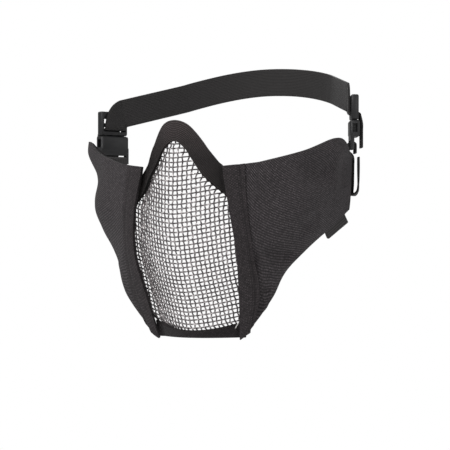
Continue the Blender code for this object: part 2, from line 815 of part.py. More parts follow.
for leftover in list(bpy.data.objects):
    bpy.data.objects.remove(leftover, do_unlink=True)
MASK = collection("mesh_face_mask")
CUTTERS = collection("cutters")
build()
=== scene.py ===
"""Half-face mask: a woven wire muzzle between two padded cloth cheek panels, on a strap round the head.

Metres, +Z up. The face looks along -Y and +X is the wearer's left.
"""

import functools
import math

import bmesh
import bpy
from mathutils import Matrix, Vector, noise


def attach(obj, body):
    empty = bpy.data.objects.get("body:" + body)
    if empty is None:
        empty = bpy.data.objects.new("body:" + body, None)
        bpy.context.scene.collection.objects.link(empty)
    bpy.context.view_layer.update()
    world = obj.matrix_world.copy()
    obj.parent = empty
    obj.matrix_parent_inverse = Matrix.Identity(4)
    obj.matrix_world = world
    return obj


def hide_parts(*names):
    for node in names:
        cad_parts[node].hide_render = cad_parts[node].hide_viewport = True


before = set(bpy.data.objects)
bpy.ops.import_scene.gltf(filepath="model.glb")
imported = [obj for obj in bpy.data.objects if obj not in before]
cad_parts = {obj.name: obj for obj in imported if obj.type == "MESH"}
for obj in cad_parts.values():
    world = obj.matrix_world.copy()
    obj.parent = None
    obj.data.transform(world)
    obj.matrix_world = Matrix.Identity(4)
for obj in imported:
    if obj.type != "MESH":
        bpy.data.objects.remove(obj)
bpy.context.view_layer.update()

# Overall sizes
MASK_HEIGHT = 0.147
HALF_WIDTH = 0.093
MASK_DEPTH = 0.092
BRIDGE_RADIUS = 0.005

# Padding: whole, along its edges, and where it is pressed thinnest
PAD_THICKNESS = 0.004
PAD_EDGE = 0.0034
PAD_PRESSED = 0.0014
PAD_FALL = 0.008
PAD_CLOTH = (0.125, 0.095)
# The deepest that a dent goes, and how much of it the padding takes up
CREASE_LIMIT = 0.0034
PRESSED_SHARE = 0.75
RIPPLE_HEIGHT = 0.0005
RIPPLES_PER_METRE = 48.0
RIPPLE_SHIFT = 3.1
OUTER_PLY = 0.57
PLY_SLIT = 0.00012
LINING_INSET = 0.0009

# Hems, stitches, nose band and chin strip
HEM_THICKNESS = 0.002
HEM_WIDTH = 0.008
HEM_LENGTH = 0.117
HEM_ROLL = 0.0003
HEM_UNDER_PAD = 0.004
HEM_DIPS_FROM = 0.93
HEM_DIP_RUN = 0.16
HEM_DIP_SHARE = 0.26
SEAM_ROWS = (0.30, 0.82)
SEAM_INSET_SHARE = 0.012
STITCH_LENGTH = 0.0021
STITCH_PITCH = 0.0030
STITCH_THICKNESS = 0.00042
BAND_THICKNESS = 0.002
BAND_WIDTH = 0.0135
BAND_LENGTH = 0.13
BAND_RIBS = 12
RIB_HEIGHT = 0.0003
# Painted light on the nose band: lighter at this height and above, darker over this fall below it
PAINTED_LIGHT_TOP = -0.004
PAINTED_LIGHT_FALL = 0.022
STRIP_THICKNESS = 0.0018
STRIP_LENGTH = 0.07
STRIP_HEIGHT = 0.008
TUCK = 0.005
STRIP_TUCK = 0.0026
RIM_GAP = 0.0022
CLEARANCE = 0.0003
STRAP_CLEARANCE = 0.00045
TAB_CLEARANCE = 0.00075

# Woven wire
WIRE_PITCH = 0.0031
WIRE_DIAMETER = 0.00108
EDGE_WIRE = 0.0015
WIRE_SLACK = 0.0009
ROW_RISE = 0.0075
ROW_RISE_POWER = 1.5
WIDEST_DOWN = 0.6
LEVEL_STEP_SHARE = 0.002
UPRIGHT_STEP = 0.0005
STEPS_PER_CELL = 4

# Strap and webbing
STRAP_WIDTH = 0.020
STRAP_THICKNESS = 0.0014
STRAP_STEPS = 4
LOOP_HALF_BREADTH = 0.0775
LOOP_HALF_LENGTH = 0.095
LOOP_CENTRE_BACK = 0.088
STRAP_BEND_RADIUS = 0.0106
STRAP_BACK_HEIGHT = 0.036
STRAP_RISE_SHARE = 0.47
STRAP_JOINS_LOOP = 41
STRAP_LEVEL = 79
TAIL_LENGTH = 0.022
TAIL_STANDS_OFF = 0.0012

# Side-release buckle, with heights from its middle
BUCKLE_TURN = 22
BUCKLE_WIDTH = 0.0262
MOULDED_EDGE = 0.00035
BODY_THICKNESS = 0.0070
BODY_TOP = 0.0025
BODY_BOTTOM = -0.0175
PRONG_THICKNESS = 0.0052
FRAME_THICKNESS = 0.0026
FRAME_BAR = 0.0028
SLOT_HEIGHT = 0.0032
POCKET_WALL = 0.0008

# Lower tab
TAB_THICKNESS = 0.0026
TAB_OUT = 0.0105
TAB_HELD = 0.0080
TAB_STATIONS = (3.08, 3.95)
TAB_FLARE_SHARE = 0.38
TAB_SKEW_SHARE = 0.35

# The muzzle's middle line: height down the mask, how far back of the bridge, and how squarely the muzzle is
# rounded towards the sides
FACE_LINE = (
    # down of MASK_HEIGHT, back of MASK_DEPTH, roundness
    (0.000, 0.000, 1.15),
    (0.095, -0.016, 1.18),
    (0.204, -0.026, 1.22),
    (0.320, -0.034, 1.28),
    (0.450, -0.031, 1.33),
    (0.600, 0.028, 1.36),
    (0.714, 0.105, 1.40),
    (0.857, 0.235, 1.45),
    (1.000, 0.345, 1.50),
)
# How much rounder than a plain slope the band falls away to the sides, at the top of the mesh
BRIDGE_ROUNDNESS = 1.5

# Outer skin of a cheek panel. Each row is a level section through five stations: the front edge beside the
# mesh, the cheek, the side of the jaw, the ear and the rear edge of the wing.
CHEEK_SECTIONS = (
    # down of MASK_HEIGHT, then five outs of HALF_WIDTH, then five backs of MASK_DEPTH
    (0.068, 0.296, 0.559, 0.828, 1.008, 1.002, 0.178, 0.304, 0.467, 0.707, 1.000),
    (0.136, 0.301, 0.559, 0.823, 1.008, 1.002, 0.166, 0.288, 0.467, 0.717, 1.000),
    (0.231, 0.312, 0.559, 0.806, 0.950, 1.000, 0.157, 0.270, 0.473, 0.739, 1.000),
    (0.408, 0.363, 0.570, 0.817, 0.925, 0.987, 0.150, 0.253, 0.440, 0.745, 0.984),
    (0.599, 0.390, 0.574, 0.748, 0.832, 0.903, 0.215, 0.332, 0.609, 0.804, 1.000),
    (0.789, 0.360, 0.578, 0.640, 0.718, 0.796, 0.348, 0.451, 0.598, 0.783, 0.978),
    (1.000, 0.317, 0.430, 0.516, 0.624, 0.710, 0.495, 0.522, 0.609, 0.761, 0.935),
)
STATIONS = 5
STATION_STEP_SHARE = 0.02
SLOPE_STEP = 0.001
SEARCH_ENDS = STATION_STEP_SHARE**3
EAR_DOWN = 0.25

# Where the panel is cut off above and below at each station
CHEEK_OUTLINE = (
    # station, upper edge and lower edge down of MASK_HEIGHT
    (0.0, 0.207, 1.000),
    (0.4, 0.200, 0.965),
    (0.7, 0.193, 0.905),
    (1.0, 0.185, 0.818),
    (2.0, 0.133, 0.612),
    (3.0, 0.073, 0.503),
    (4.0, 0.145, 0.401),
)

# Broad dents in a panel's face
CHEEK_CREASES = (
    # station, down of MASK_HEIGHT, reach in stations, reach of MASK_HEIGHT, depth of PAD_THICKNESS
    (1.35, 0.615, 0.60, 0.060, 0.70),
    (2.45, 0.235, 0.90, 0.110, 0.45),
    (0.80, 0.850, 0.50, 0.060, 0.55),
    (0.55, 0.650, 0.40, 0.070, 0.50),
    (1.45, 0.330, 0.60, 0.090, 0.35),
)

# How deep the dents and folds of the wearer's right panel are beside those of the left one
RIGHT_CREASES = 0.25

# Narrow folds in a panel's face, each a furrow with a soft ridge below it
RIDGE_SHARE = 0.6
RIDGE_BELOW = 1.7
CHEEK_FOLDS = (
    # from station, down of MASK_HEIGHT, to station, down of MASK_HEIGHT, half width and depth of PAD_THICKNESS
    (0.98, 0.592, 1.72, 0.622, 0.85, 0.62),
    (1.08, 0.640, 1.34, 0.660, 0.60, 0.50),
    (0.70, 0.772, 1.00, 0.780, 0.65, 0.50),
    (0.30, 0.640, 0.80, 0.605, 0.90, 0.40),
    (0.45, 0.860, 0.72, 0.800, 0.75, 0.36),
    (2.05, 0.300, 3.00, 0.210, 1.50, 0.40),
    (3.30, 0.150, 3.60, 0.300, 1.30, 0.34),
    (1.80, 0.500, 2.60, 0.420, 1.40, 0.28),
)

# The nose band from the bridge to the end of a leg, by its upper and its lower edge
NOSE_BAND = (
    # place along, upper edge down and out, lower edge down and out: of MASK_HEIGHT and HALF_WIDTH
    (0, 0.000, 0.000, 0.095, 0.000),
    (1, 0.014, 0.082, 0.128, 0.084),
    (2, 0.056, 0.146, 0.193, 0.146),
    (3, 0.141, 0.230, 0.259, 0.220),
    (4, 0.214, 0.302, 0.330, 0.318),
    (5, 0.262, 0.362, 0.372, 0.385),
)
# How far back the band's lower edge lies beside the mesh
BAND_EDGE_BACK = (
    # down of MASK_HEIGHT, back of MASK_DEPTH
    (0.193, 0.024),
    (0.259, 0.054),
)

# The middle of each buckle. The wearer's right one sits lower on its webbing.
BUCKLE_PLACES = {
    # side: out, back and up, of HALF_WIDTH, MASK_DEPTH and BUCKLE_WIDTH
    1: (0.982, 1.080, 0.0),
    -1: (1.005, 1.114, -0.30),
}

# The webbing behind each wing, below the buckle's bar: down the wing's inside and folded back up outside it
REAR_WEBS = {
    # side: outwards and rearwards of the buckle's middle and up of the bridge, of STRAP_WIDTH, then the turn
    1: (
        (-0.206, -0.02, -1.10, -2),
        (-0.257, -0.14, -1.50, -9),
        (-0.267, -0.14, -2.10, -9),
        (-0.225, 0.10, -2.36, -4),
        (-0.060, 0.17, -2.44, 8),
        (0.090, 0.18, -2.37, 16),
        (0.155, 0.18, -2.17, 18),
        (0.165, 0.20, -1.60, 20),
        (0.165, 0.21, -1.13, 20),
    ),
    -1: (
        (-0.345, 0.05, -1.62, 2),
        (-0.390, -0.24, -2.10, -9),
        (-0.340, 0.00, -2.36, -4),
        (-0.120, 0.05, -2.44, 8),
        (0.060, 0.06, -2.37, 16),
        (0.115, 0.08, -2.17, 18),
        (0.115, 0.10, -1.70, 20),
    ),
}

# How far the mesh runs under the panels, down to its lower edge under the chin strip
MESH_EDGE = (
    # down of MASK_HEIGHT, out past the panel's front edge of TUCK
    (0.330, 1.0),
    (0.500, 1.0),
    (0.630, 1.0),
    (0.880, 0.8),
    (0.940, 0.2),
    (0.976, -0.8),
)
MESH_TOP_SHARE = 0.045
MESH_TOP_HALF_WIDTH = 0.006

STRIP_TOP_SHARE = 0.959
STRIP_RISE_SHARE = 0.037
STRIP_BOTTOM_SHARE = 0.993
HEM_BOTTOM_SHARE = 0.995

# The bright wire end beside the chin strip
LOOSE_WIRE = (
    # out of the panel's front edge, down of MASK_HEIGHT, then how far it stands proud
    (0.95, 0.948, 0.0006),
    (0.985, 0.938, 0.0016),
    (1.02, 0.926, 0.0020),
    (1.045, 0.916, 0.0012),
)

# Camera and lights
CAMERA_LENS = 171.4
CAMERA_PLACE = (0.5621, -1.3029, -0.0695)
CAMERA_HEADING = (-0.3746, 0.927, 0)
LIGHTS_AIM = (0, 0.06, -0.05)
LIGHTS = (
    # name, place, size, power
    ("key_light", (-0.5, -1.4, 1.1), 0.7, 21),
    ("fill_light", (1.5, -1.1, 0.3), 1.0, 5),
    ("back_light", (-0.6, 1.6, 0.9), 1.2, 14),
    ("side_light", (1.6, 0.9, 0.5), 1.0, 3),
)
ROOM_LIGHT = 0.34
FLOOR_HEIGHT = -0.75
FLOOR_RADIUS = 2.5

# Points of a mesh nearer to each other than this are one point
SAME_PLACE = 0.000001

BRIDGE_FRONT = -BAND_THICKNESS
BAND_APEX = NOSE_BAND[0][3]
BAND_MEETS_CHEEK = NOSE_BAND[-2][3]
BAND_ENDS = NOSE_BAND[-1][3]


def interpolate(rows, at):
    """The columns after the first, on a smooth curve through the rows, where the first column is at."""
    at = min(max(at, rows[0][0]), rows[-1][0])
    i = max(k for k in range(len(rows) - 1) if rows[k][0] <= at)
    knots = [row[0] for row in rows]
    span = knots[i + 1] - knots[i]
    t = (at - knots[i]) / span

    def slope(k, column):
        low, high = max(k - 1, 0), min(k + 1, len(rows) - 1)
        return (rows[high][column] - rows[low][column]) / (knots[high] - knots[low])

    values = []
    for column in range(1, len(rows[0])):
        start, end = rows[i][column], rows[i + 1][column]
        leave, arrive = slope(i, column) * span, slope(i + 1, column) * span
        values.append(
            start * (2 * t**3 - 3 * t**2 + 1)
            + leave * (t**3 - 2 * t**2 + t)
            + end * (3 * t**2 - 2 * t**3)
            + arrive * (t**3 - t**2)
        )
    return values


def ramp(t):
    """0 before 0, 1 after 1, and a smooth rise between."""
    t = min(max(t, 0.0), 1.0)
    return t * t * (3 - 2 * t)


def between(a, b, t):
    return a + (b - a) * t


def on_side(side, place):
    """A place or direction that is given for the wearer's left, moved to the side asked for."""
    return Vector((side * place.x, place.y, place.z))


def placed(name, data):
    """A new object in the scene."""
    thing = bpy.data.objects.new(name, data)
    bpy.context.scene.collection.objects.link(thing)
    return thing


@functools.lru_cache(maxsize=None)
def cheek_section(down):
    columns = interpolate(CHEEK_SECTIONS, down)
    return tuple((k, columns[k], columns[STATIONS + k]) for k in range(STATIONS))


def cheek_skin(station, down):
    """A point of the cheek panel's outer skin on the wearer's left."""
    out, back = interpolate(cheek_section(down), station)
    return Vector((out * HALF_WIDTH, BRIDGE_FRONT + back * MASK_DEPTH, -down * MASK_HEIGHT))


def cheek_normal(station, down):
    """Outward normal of the cheek skin."""
    step = STATION_STEP_SHARE
    station = min(station, STATIONS - 1 - step)
    along = cheek_skin(station + step, down) - cheek_skin(max(station - step, 0), down)
    drop = cheek_skin(station, down + step) - cheek_skin(station, down - step)
    return drop.cross(along).normalized()


@functools.lru_cache(maxsize=None)
def cheek_front_out(down):
    return cheek_skin(0, down).x


def cheek_back(out, down):
    """How far back the cheek skin lies at a distance out from the middle, near its front edge."""
    low, high = STATION_STEP_SHARE, STATIONS / 2
    edge, beside = cheek_skin(0, down), cheek_skin(low, down)
    if out <= beside.x:
        return between(edge.y, beside.y, (out - edge.x) / (beside.x - edge.x))
    while high - low > SEARCH_ENDS:
        middle = (low + high) / 2
        if cheek_skin(middle, down).x < out:
            low = middle
        else:
            high = middle
    return cheek_skin(low, down).y


def leaning(back, out, down):
    """How much longer a depth is along Y than square to a surface, given the function of its backs."""
    across = (back(out + SLOPE_STEP, down) - back(out - SLOPE_STEP, down)) / (2 * SLOPE_STEP)
    share = SLOPE_STEP / MASK_HEIGHT
    drop = (back(out, down + share) - back(out, down - share)) / (2 * SLOPE_STEP)
    return math.sqrt(1 + across**2 + drop**2)


@functools.lru_cache(maxsize=None)
def under_cheek(out, down):
    """How far back the inner face of a panel's hem lies, with its clearance."""
    depth = HEM_THICKNESS + CLEARANCE
    return cheek_back(out, down) + depth * leaning(cheek_back, out, down)


def soft(out):
    """A distance from the middle, eased where the surface is rounded over the bridge."""
    return math.hypot(out, BRIDGE_RADIUS) - BRIDGE_RADIUS


@functools.lru_cache(maxsize=None)
def window_edge(down):
    """The mesh window's edge as (out, back): beside the nose band above, and beside a panel's hem below."""
    if down >= BAND_MEETS_CHEEK:
        out = cheek_front_out(down) - RIM_GAP
        return out, under_cheek(out, down)
    if down <= BAND_APEX:
        return 0.0, face_back(down)
    meeting = cheek_front_out(BAND_MEETS_CHEEK) - RIM_GAP
    lower_edge = [(row[3], row[4] * HALF_WIDTH) for row in NOSE_BAND[:-2]]
    lower_edge.append((BAND_MEETS_CHEEK, meeting))
    backs = [(BAND_APEX, face_back(BAND_APEX))]
    backs += [(row[0], BRIDGE_FRONT + row[1] * MASK_DEPTH) for row in BAND_EDGE_BACK]
    backs.append((BAND_MEETS_CHEEK, under_cheek(meeting, BAND_MEETS_CHEEK)))
    return interpolate(lower_edge, down)[0], interpolate(backs, down)[0]


@functools.lru_cache(maxsize=None)
def face_line(down):
    back, roundness = interpolate(FACE_LINE, down)
    return BRIDGE_FRONT + back * MASK_DEPTH, roundness


def face_back(down):
    return face_line(down)[0]


@functools.lru_cache(maxsize=None)
def front_back(out, down):
    """How far back the front skin lies: mesh, nose band and chin strip, then what lies under the panels."""
    out = abs(out)
    hem_out = cheek_front_out(down) - RIM_GAP
    if out >= hem_out:
        return under_cheek(out, down)
    edge_out, edge_back = window_edge(down)
    if soft(out) < soft(edge_out):
        middle, roundness = face_line(down)
        return between(middle, edge_back, (soft(out) / soft(edge_out)) ** roundness)
    share = (soft(out) - soft(edge_out)) / (soft(hem_out) - soft(edge_out))
    below_apex = (down - BAND_APEX) / (BAND_MEETS_CHEEK - BAND_APEX)
    roundness = between(BRIDGE_ROUNDNESS, 1.0, ramp(below_apex))
    return between(edge_back, under_cheek(hem_out, down), share**roundness)


def front_skin(out, down, depth=0.0):
    """A point of the front skin, or of what lies a depth inside it."""
    back = front_back(out, down)
    if depth:
        back += depth * leaning(front_back, abs(out), down)
    return Vector((out, back, -down * MASK_HEIGHT))


def strip_upper(out, down):
    """The chin strip's upper edge, which rises towards the panels."""
    return STRIP_TOP_SHARE - STRIP_RISE_SHARE * (out / cheek_front_out(down)) ** 2


def wire_depth(out, down):
    """How deep the middle of the woven wire lies inside the front skin, dipping under the cloth all round."""
    edge_out, _ = window_edge(down)
    inside = edge_out - abs(out)
    under_hem = ramp(1 - inside / WIRE_PITCH)
    if down < BAND_MEETS_CHEEK:
        under_band = ramp(1 - (inside - RIM_GAP) / WIRE_PITCH)
    else:
        under_band = under_hem * (1 - ramp((down - BAND_ENDS) * MASK_HEIGHT / WIRE_PITCH))
    under_strip = ramp(1 + (down - strip_upper(out, down)) * MASK_HEIGHT / WIRE_PITCH)
    cover = max(BAND_THICKNESS * under_band, STRIP_THICKNESS * under_strip)
    return WIRE_DIAMETER + cover + WIRE_SLACK * max(under_band, under_strip, under_hem)


# Studio


def studio_camera():
    """Level, in front of the mask and to its left."""
    data = bpy.data.cameras.new("camera")
    data.lens = CAMERA_LENS
    data.sensor_width = 36
    camera = placed("camera", data)
    camera.location = CAMERA_PLACE
    camera.rotation_euler = Vector(CAMERA_HEADING).to_track_quat("-Z", "Y").to_euler()
    bpy.context.scene.camera = camera


def softbox(name, place, size, power):
    """A square soft light turned towards the mask's middle."""
    data = bpy.data.lights.new(name, "AREA")
    data.shape = "SQUARE"
    data.size = size
    data.energy = power
    light = placed(name, data)
    light.location = place
    aim = Vector(LIGHTS_AIM) - Vector(place)
    light.rotation_euler = aim.to_track_quat("-Z", "Y").to_euler()


def room_light():
    """White all round: bright behind the mask, and dimmer where it lights the mask."""
    world = bpy.data.worlds.new("studio")
    bpy.context.scene.world = world
    world.use_nodes = True
    nodes, links = world.node_tree.nodes, world.node_tree.links
    background = nodes["Background"]
    background.inputs["Color"].default_value = (1, 1, 1, 1)
    seen = nodes.new("ShaderNodeLightPath")
    strength = nodes.new("ShaderNodeMapRange")
    strength.inputs["To Min"].default_value = ROOM_LIGHT
    strength.inputs["To Max"].default_value = 1.0
    links.new(seen.outputs["Is Camera Ray"], strength.inputs["Value"])
    links.new(strength.outputs["Result"], background.inputs["Strength"])


def pale_floor():
    bm = bmesh.new()
    bmesh.ops.create_circle(bm, cap_ends=True, segments=64, radius=FLOOR_RADIUS)
    bmesh.ops.translate(bm, verts=bm.verts, vec=(0, 0, FLOOR_HEIGHT))
    mesh = bpy.data.meshes.new("floor")
    bm.to_mesh(mesh)
    bm.free()
    made, shader, _ = finish("pale_floor", 0.9)
    shader.inputs["Base Color"].default_value = (0.92, 0.92, 0.92, 1)
    mesh.materials.append(made)
    placed("floor", mesh)


def studio():
    bpy.context.scene.view_settings.view_transform = "Standard"
    studio_camera()
    for light in LIGHTS:
        softbox(*light)
    room_light()
    pale_floor()


# Finishes


def node_group(name, ins, outs):
    """An empty shader group with named inputs (name, type, value) and outputs (name, type)."""
    group = bpy.data.node_groups.new(name, "ShaderNodeTree")
    for label, kind, value in ins:
        socket = group.interface.new_socket(name=label, in_out="INPUT", socket_type="NodeSocket" + kind)
        if value is not None:
            socket.default_value = value
    for label, kind in outs:
        group.interface.new_socket(name=label, in_out="OUTPUT", socket_type="NodeSocket" + kind)
    return group, group.nodes.new("NodeGroupInput"), group.nodes.new("NodeGroupOutput")


def math_step(tree, operation, first, second=None, third=None):
    """A Math node fed by sockets or numbers. Returns its output."""
    node = tree.nodes.new("ShaderNodeMath")
    node.operation = operation
    for socket, value in zip(node.inputs, (first, second, third)):
        if isinstance(value, bpy.types.NodeSocket):
            tree.links.new(value, socket)
        elif value is not None:
            socket.default_value = value
    return node.outputs[0]


def blend_step(tree, share, first, second, kind="FLOAT"):
    """A Mix node of numbers or colours. Returns its output."""
    node = tree.nodes.new("ShaderNodeMix")
    node.data_type = kind
    sockets = [s for s in node.inputs if s.enabled]
    for socket, value in zip(sockets, (share, first, second)):
        if isinstance(value, bpy.types.NodeSocket):
            tree.links.new(value, socket)
        else:
            socket.default_value = value
    return next(s for s in node.outputs if s.enabled)


def noise_step(tree, vector, scale, detail=2.0):
    node = tree.nodes.new("ShaderNodeTexNoise")
    node.inputs["Scale"].default_value = scale
    node.inputs["Detail"].default_value = detail
    tree.links.new(vector, node.inputs["Vector"])
    return node.outputs["Fac"]


def about_zero(tree, value):
    """A noise between 0 and 1, moved so that its middle is 0."""
    return math_step(tree, "SUBTRACT", value, 0.5)


def thread_height(tree, count):
    """0 between threads and 1 on top of each, where count is the number of threads so far."""
    return math_step(tree, "ABSOLUTE", math_step(tree, "SINE", math_step(tree, "MULTIPLY", count, math.pi)))


def split_place(tree, place):
    node = tree.nodes.new("ShaderNodeSeparateXYZ")
    tree.links.new(place, node.inputs[0])
    return node.outputs


def scaled_colour(tree, colour, share):
    node = tree.nodes.new("ShaderNodeVectorMath")
    node.operation = "SCALE"
    tree.links.new(colour, node.inputs[0])
    tree.links.new(share, node.inputs["Scale"])
    return node.outputs[0]


def plain_weave_group():
    """Threads over and under each other, each crossing a little lighter or darker than the next.

    Place is in metres on the cloth and Threads is threads per metre. Over is 1 where the threads that run along
    the cloth lie on top, and 0 at the other crossings.
    """
    group, ins, outs = node_group(
        "plain_weave",
        [("Place", "Vector", None), ("Threads", "Float", 1000.0), ("Uneven", "Float", 0.3)],
        [("Height", "Float"), ("Over", "Float"), ("Fleck", "Float")],
    )
    place, threads = ins.outputs["Place"], ins.outputs["Threads"]
    wobble = about_zero(group, noise_step(group, place, 260.0, 3.0))
    shift = math_step(group, "MULTIPLY", wobble, ins.outputs["Uneven"])
    split = split_place(group, place)
    x = math_step(group, "MULTIPLY_ADD", split["X"], threads, shift)
    y = math_step(group, "MULTIPLY_ADD", split["Y"], threads, shift)
    across, up = thread_height(group, x), thread_height(group, y)
    column, row = math_step(group, "FLOOR", x), math_step(group, "FLOOR", y)
    odd = math_step(group, "FRACT", math_step(group, "MULTIPLY", math_step(group, "ADD", column, row), 0.5))
    over = math_step(group, "GREATER_THAN", odd, 0.25)
    warp = math_step(group, "MULTIPLY", across, math_step(group, "MULTIPLY_ADD", up, 0.5, 0.5))
    weft = math_step(group, "MULTIPLY", up, math_step(group, "MULTIPLY_ADD", across, 0.5, 0.5))
    cell = group.nodes.new("ShaderNodeCombineXYZ")
    group.links.new(column, cell.inputs["X"])
    group.links.new(row, cell.inputs["Y"])
    fleck = group.nodes.new("ShaderNodeTexWhiteNoise")
    group.links.new(cell.outputs[0], fleck.inputs["Vector"])
    group.links.new(blend_step(group, over, warp, weft), outs.inputs["Height"])
    group.links.new(over, outs.inputs["Over"])
    group.links.new(fleck.outputs["Value"], outs.inputs["Fleck"])
    return group


def ribbed_weave_group():
    """Cords running lengthways, each crossed by fine weft. Place is in metres along and across the tape."""
    group, ins, outs = node_group(
        "ribbed_weave",
        [("Place", "Vector", None), ("Ribs", "Float", 700.0), ("Picks", "Float", 1300.0)],
        [("Height", "Float"), ("Groove", "Float")],
    )
    split = split_place(group, ins.outputs["Place"])
    ribs = math_step(group, "MULTIPLY", split["Y"], ins.outputs["Ribs"])
    odd = math_step(group, "MULTIPLY", math_step(group, "FLOOR", ribs), 0.5)
    picks = math_step(group, "MULTIPLY_ADD", split["X"], ins.outputs["Picks"], odd)
    rib, pick = thread_height(group, ribs), thread_height(group, picks)
    height = math_step(group, "MULTIPLY", rib, math_step(group, "MULTIPLY_ADD", pick, 0.4, 0.6))
    groove = math_step(group, "POWER", math_step(group, "SUBTRACT", 1.0, rib), 2.0)
    group.links.new(height, outs.inputs["Height"])
    group.links.new(groove, outs.inputs["Groove"])
    return group


def mottling_group():
    """Soft light and dark patches of a colour, broad and fine. Place is in metres."""
    group, ins, outs = node_group(
        "soft_mottling",
        [("Place", "Vector", None), ("Colour", "Color", (0.05, 0.05, 0.05, 1)), ("Mottle", "Float", 0.2)],
        [("Colour", "Color")],
    )
    broad = about_zero(group, noise_step(group, ins.outputs["Place"], 35.0, 3.0))
    fine = about_zero(group, noise_step(group, ins.outputs["Place"], 900.0))
    both = math_step(group, "ADD", broad, fine)
    share = math_step(group, "MULTIPLY_ADD", both, ins.outputs["Mottle"], 1.0)
    group.links.new(scaled_colour(group, ins.outputs["Colour"], share), outs.inputs["Colour"])
    return group


PLAIN_WEAVE = plain_weave_group()
RIBBED_WEAVE = ribbed_weave_group()
MOTTLING = mottling_group()


def finish(name, roughness, specular=0.5, metallic=0.0, sheen=0.0):
    """A new material, its shader and its tree."""
    made = bpy.data.materials.new(name)
    made.use_nodes = True
    shader = made.node_tree.nodes["Principled BSDF"]
    shader.inputs["Roughness"].default_value = roughness
    shader.inputs["Specular IOR Level"].default_value = specular
    shader.inputs["Metallic"].default_value = metallic
    shader.inputs["Sheen Weight"].default_value = sheen
    return made, shader, made.node_tree


def group_step(tree, group, **values):
    """A placed group, fed by sockets or values given by socket name."""
    node = tree.nodes.new("ShaderNodeGroup")
    node.node_tree = group
    for label, value in values.items():
        if isinstance(value, bpy.types.NodeSocket):
            tree.links.new(value, node.inputs[label])
        else:
            node.inputs[label].default_value = value
    return node


def bump_step(tree, shader, height, strength, distance):
    node = tree.nodes.new("ShaderNodeBump")
    node.inputs["Strength"].default_value = strength
    node.inputs["Distance"].default_value = distance
    tree.links.new(height, node.inputs["Height"])
    tree.links.new(node.outputs["Normal"], shader.inputs["Normal"])


def ranged(tree, value, low, high, start=0.0, end=1.0):
    """A value between start and end, moved to between low and high."""
    node = tree.nodes.new("ShaderNodeMapRange")
    for label, number in zip(("From Min", "From Max", "To Min", "To Max"), (start, end, low, high)):
        node.inputs[label].default_value = number
    tree.links.new(value, node.inputs["Value"])
    return node.outputs["Result"]


def shaded(tree, colour, *shades):
    """A colour made lighter or darker by each shade."""
    for shade in shades:
        colour = scaled_colour(tree, colour, shade)
    return colour


def place_in_space(tree):
    return tree.nodes.new("ShaderNodeTexCoord").outputs["Object"]


def place_on_cloth(tree):
    """Metres along and across the cloth."""
    node = tree.nodes.new("ShaderNodeUVMap")
    node.uv_map = "cloth"
    return node.outputs["UV"]


def mottled(tree, spot, colour, mottle):
    return group_step(tree, MOTTLING, Place=spot, Colour=(*colour, 1), Mottle=mottle).outputs["Colour"]


def cloth_finish(name, colour, threads, fleck=0.3, one_way_light=0.3):
    """Matt woven nylon. The weave follows the cloth, with painted light on the threads of one direction and
    painted shade between threads.
    """
    made, shader, tree = finish(name, 0.84, specular=0.3, sheen=0.05)
    weave = group_step(tree, PLAIN_WEAVE, Place=place_on_cloth(tree), Threads=threads, Uneven=0.5).outputs
    base = mottled(tree, place_in_space(tree), colour, 0.35)
    # Painted shade between the threads, painted light on their tops and on the threads of one direction
    threads_shade = ranged(tree, weave["Height"], 0.5, 1.3)
    crossings = ranged(tree, weave["Over"], 1 - one_way_light, 1 + one_way_light)
    flecks = ranged(tree, weave["Fleck"], 1 - fleck, 1 + fleck)
    tree.links.new(shaded(tree, base, threads_shade, crossings, flecks), shader.inputs["Base Color"])
    bump_step(tree, shader, weave["Height"], 0.9, 0.00028)
    return made


def tape_finish(name, colour, ribs, picks, roughness=0.8, depth=0.00025, groove=0.4, crown_light=1.25, lit_above=None):
    """Ribbed webbing or elastic. Painted shade in its grooves, painted light on its ribs and, if given, above a
    height.
    """
    made, shader, tree = finish(name, roughness, specular=0.3, sheen=0.05)
    weave = group_step(tree, RIBBED_WEAVE, Place=place_on_cloth(tree), Ribs=ribs, Picks=picks).outputs
    spot = place_in_space(tree)
    # Painted shade in the grooves between the ribs and painted light on their crowns
    shades = [ranged(tree, weave["Groove"], crown_light, groove)]
    if lit_above is not None:
        # Painted light from above: the tape lighter at the given height, darker over the fall below it
        shades.append(ranged(tree, split_place(tree, spot)["Z"], 0.45, 1.15, lit_above - PAINTED_LIGHT_FALL, lit_above))
    tree.links.new(shaded(tree, mottled(tree, spot, colour, 0.35), *shades), shader.inputs["Base Color"])
    bump_step(tree, shader, weave["Height"], 0.9, depth)
    return made


def wire_finish():
    """Black paint on steel wire, rubbed through to the metal here and there."""
    made, shader, tree = finish("painted_wire", 0.30, specular=0.8)
    spot = place_in_space(tree)
    rubbed = ranged(tree, noise_step(tree, spot, 420.0, 3.0), 0.0, 1.0, 0.47, 0.62)
    paint, steel = (0.085, 0.073, 0.076, 1), (0.58, 0.54, 0.54, 1)
    tree.links.new(blend_step(tree, rubbed, paint, steel, "RGBA"), shader.inputs["Base Color"])
    tree.links.new(math_step(tree, "MULTIPLY", rubbed, 0.8), shader.inputs["Metallic"])
    bump_step(tree, shader, noise_step(tree, spot, 2500.0), 0.15, 0.0001)
    return made


def speckled_finish(name, colour, roughness, metallic=0.0):
    """Thread or bare metal: an uneven colour and a fine roughness."""
    made, shader, tree = finish(name, roughness, metallic=metallic)
    spot = place_in_space(tree)
    tree.links.new(mottled(tree, spot, colour, 0.8), shader.inputs["Base Color"])
    bump_step(tree, shader, noise_step(tree, spot, 3000.0), 0.3, 0.0001)
    return made


def plastic_finish():
    """Fine-grained black moulding, a little shinier where it is rubbed."""
    made, shader, tree = finish("black_moulding", 0.45)
    spot = place_in_space(tree)
    tree.links.new(mottled(tree, spot, (0.014, 0.014, 0.015), 0.2), shader.inputs["Base Color"])
    tree.links.new(ranged(tree, noise_step(tree, spot, 120.0, 3.0), 0.34, 0.54), shader.inputs["Roughness"])
    bump_step(tree, shader, noise_step(tree, spot, 3500.0), 0.25, 0.00008)
    return made


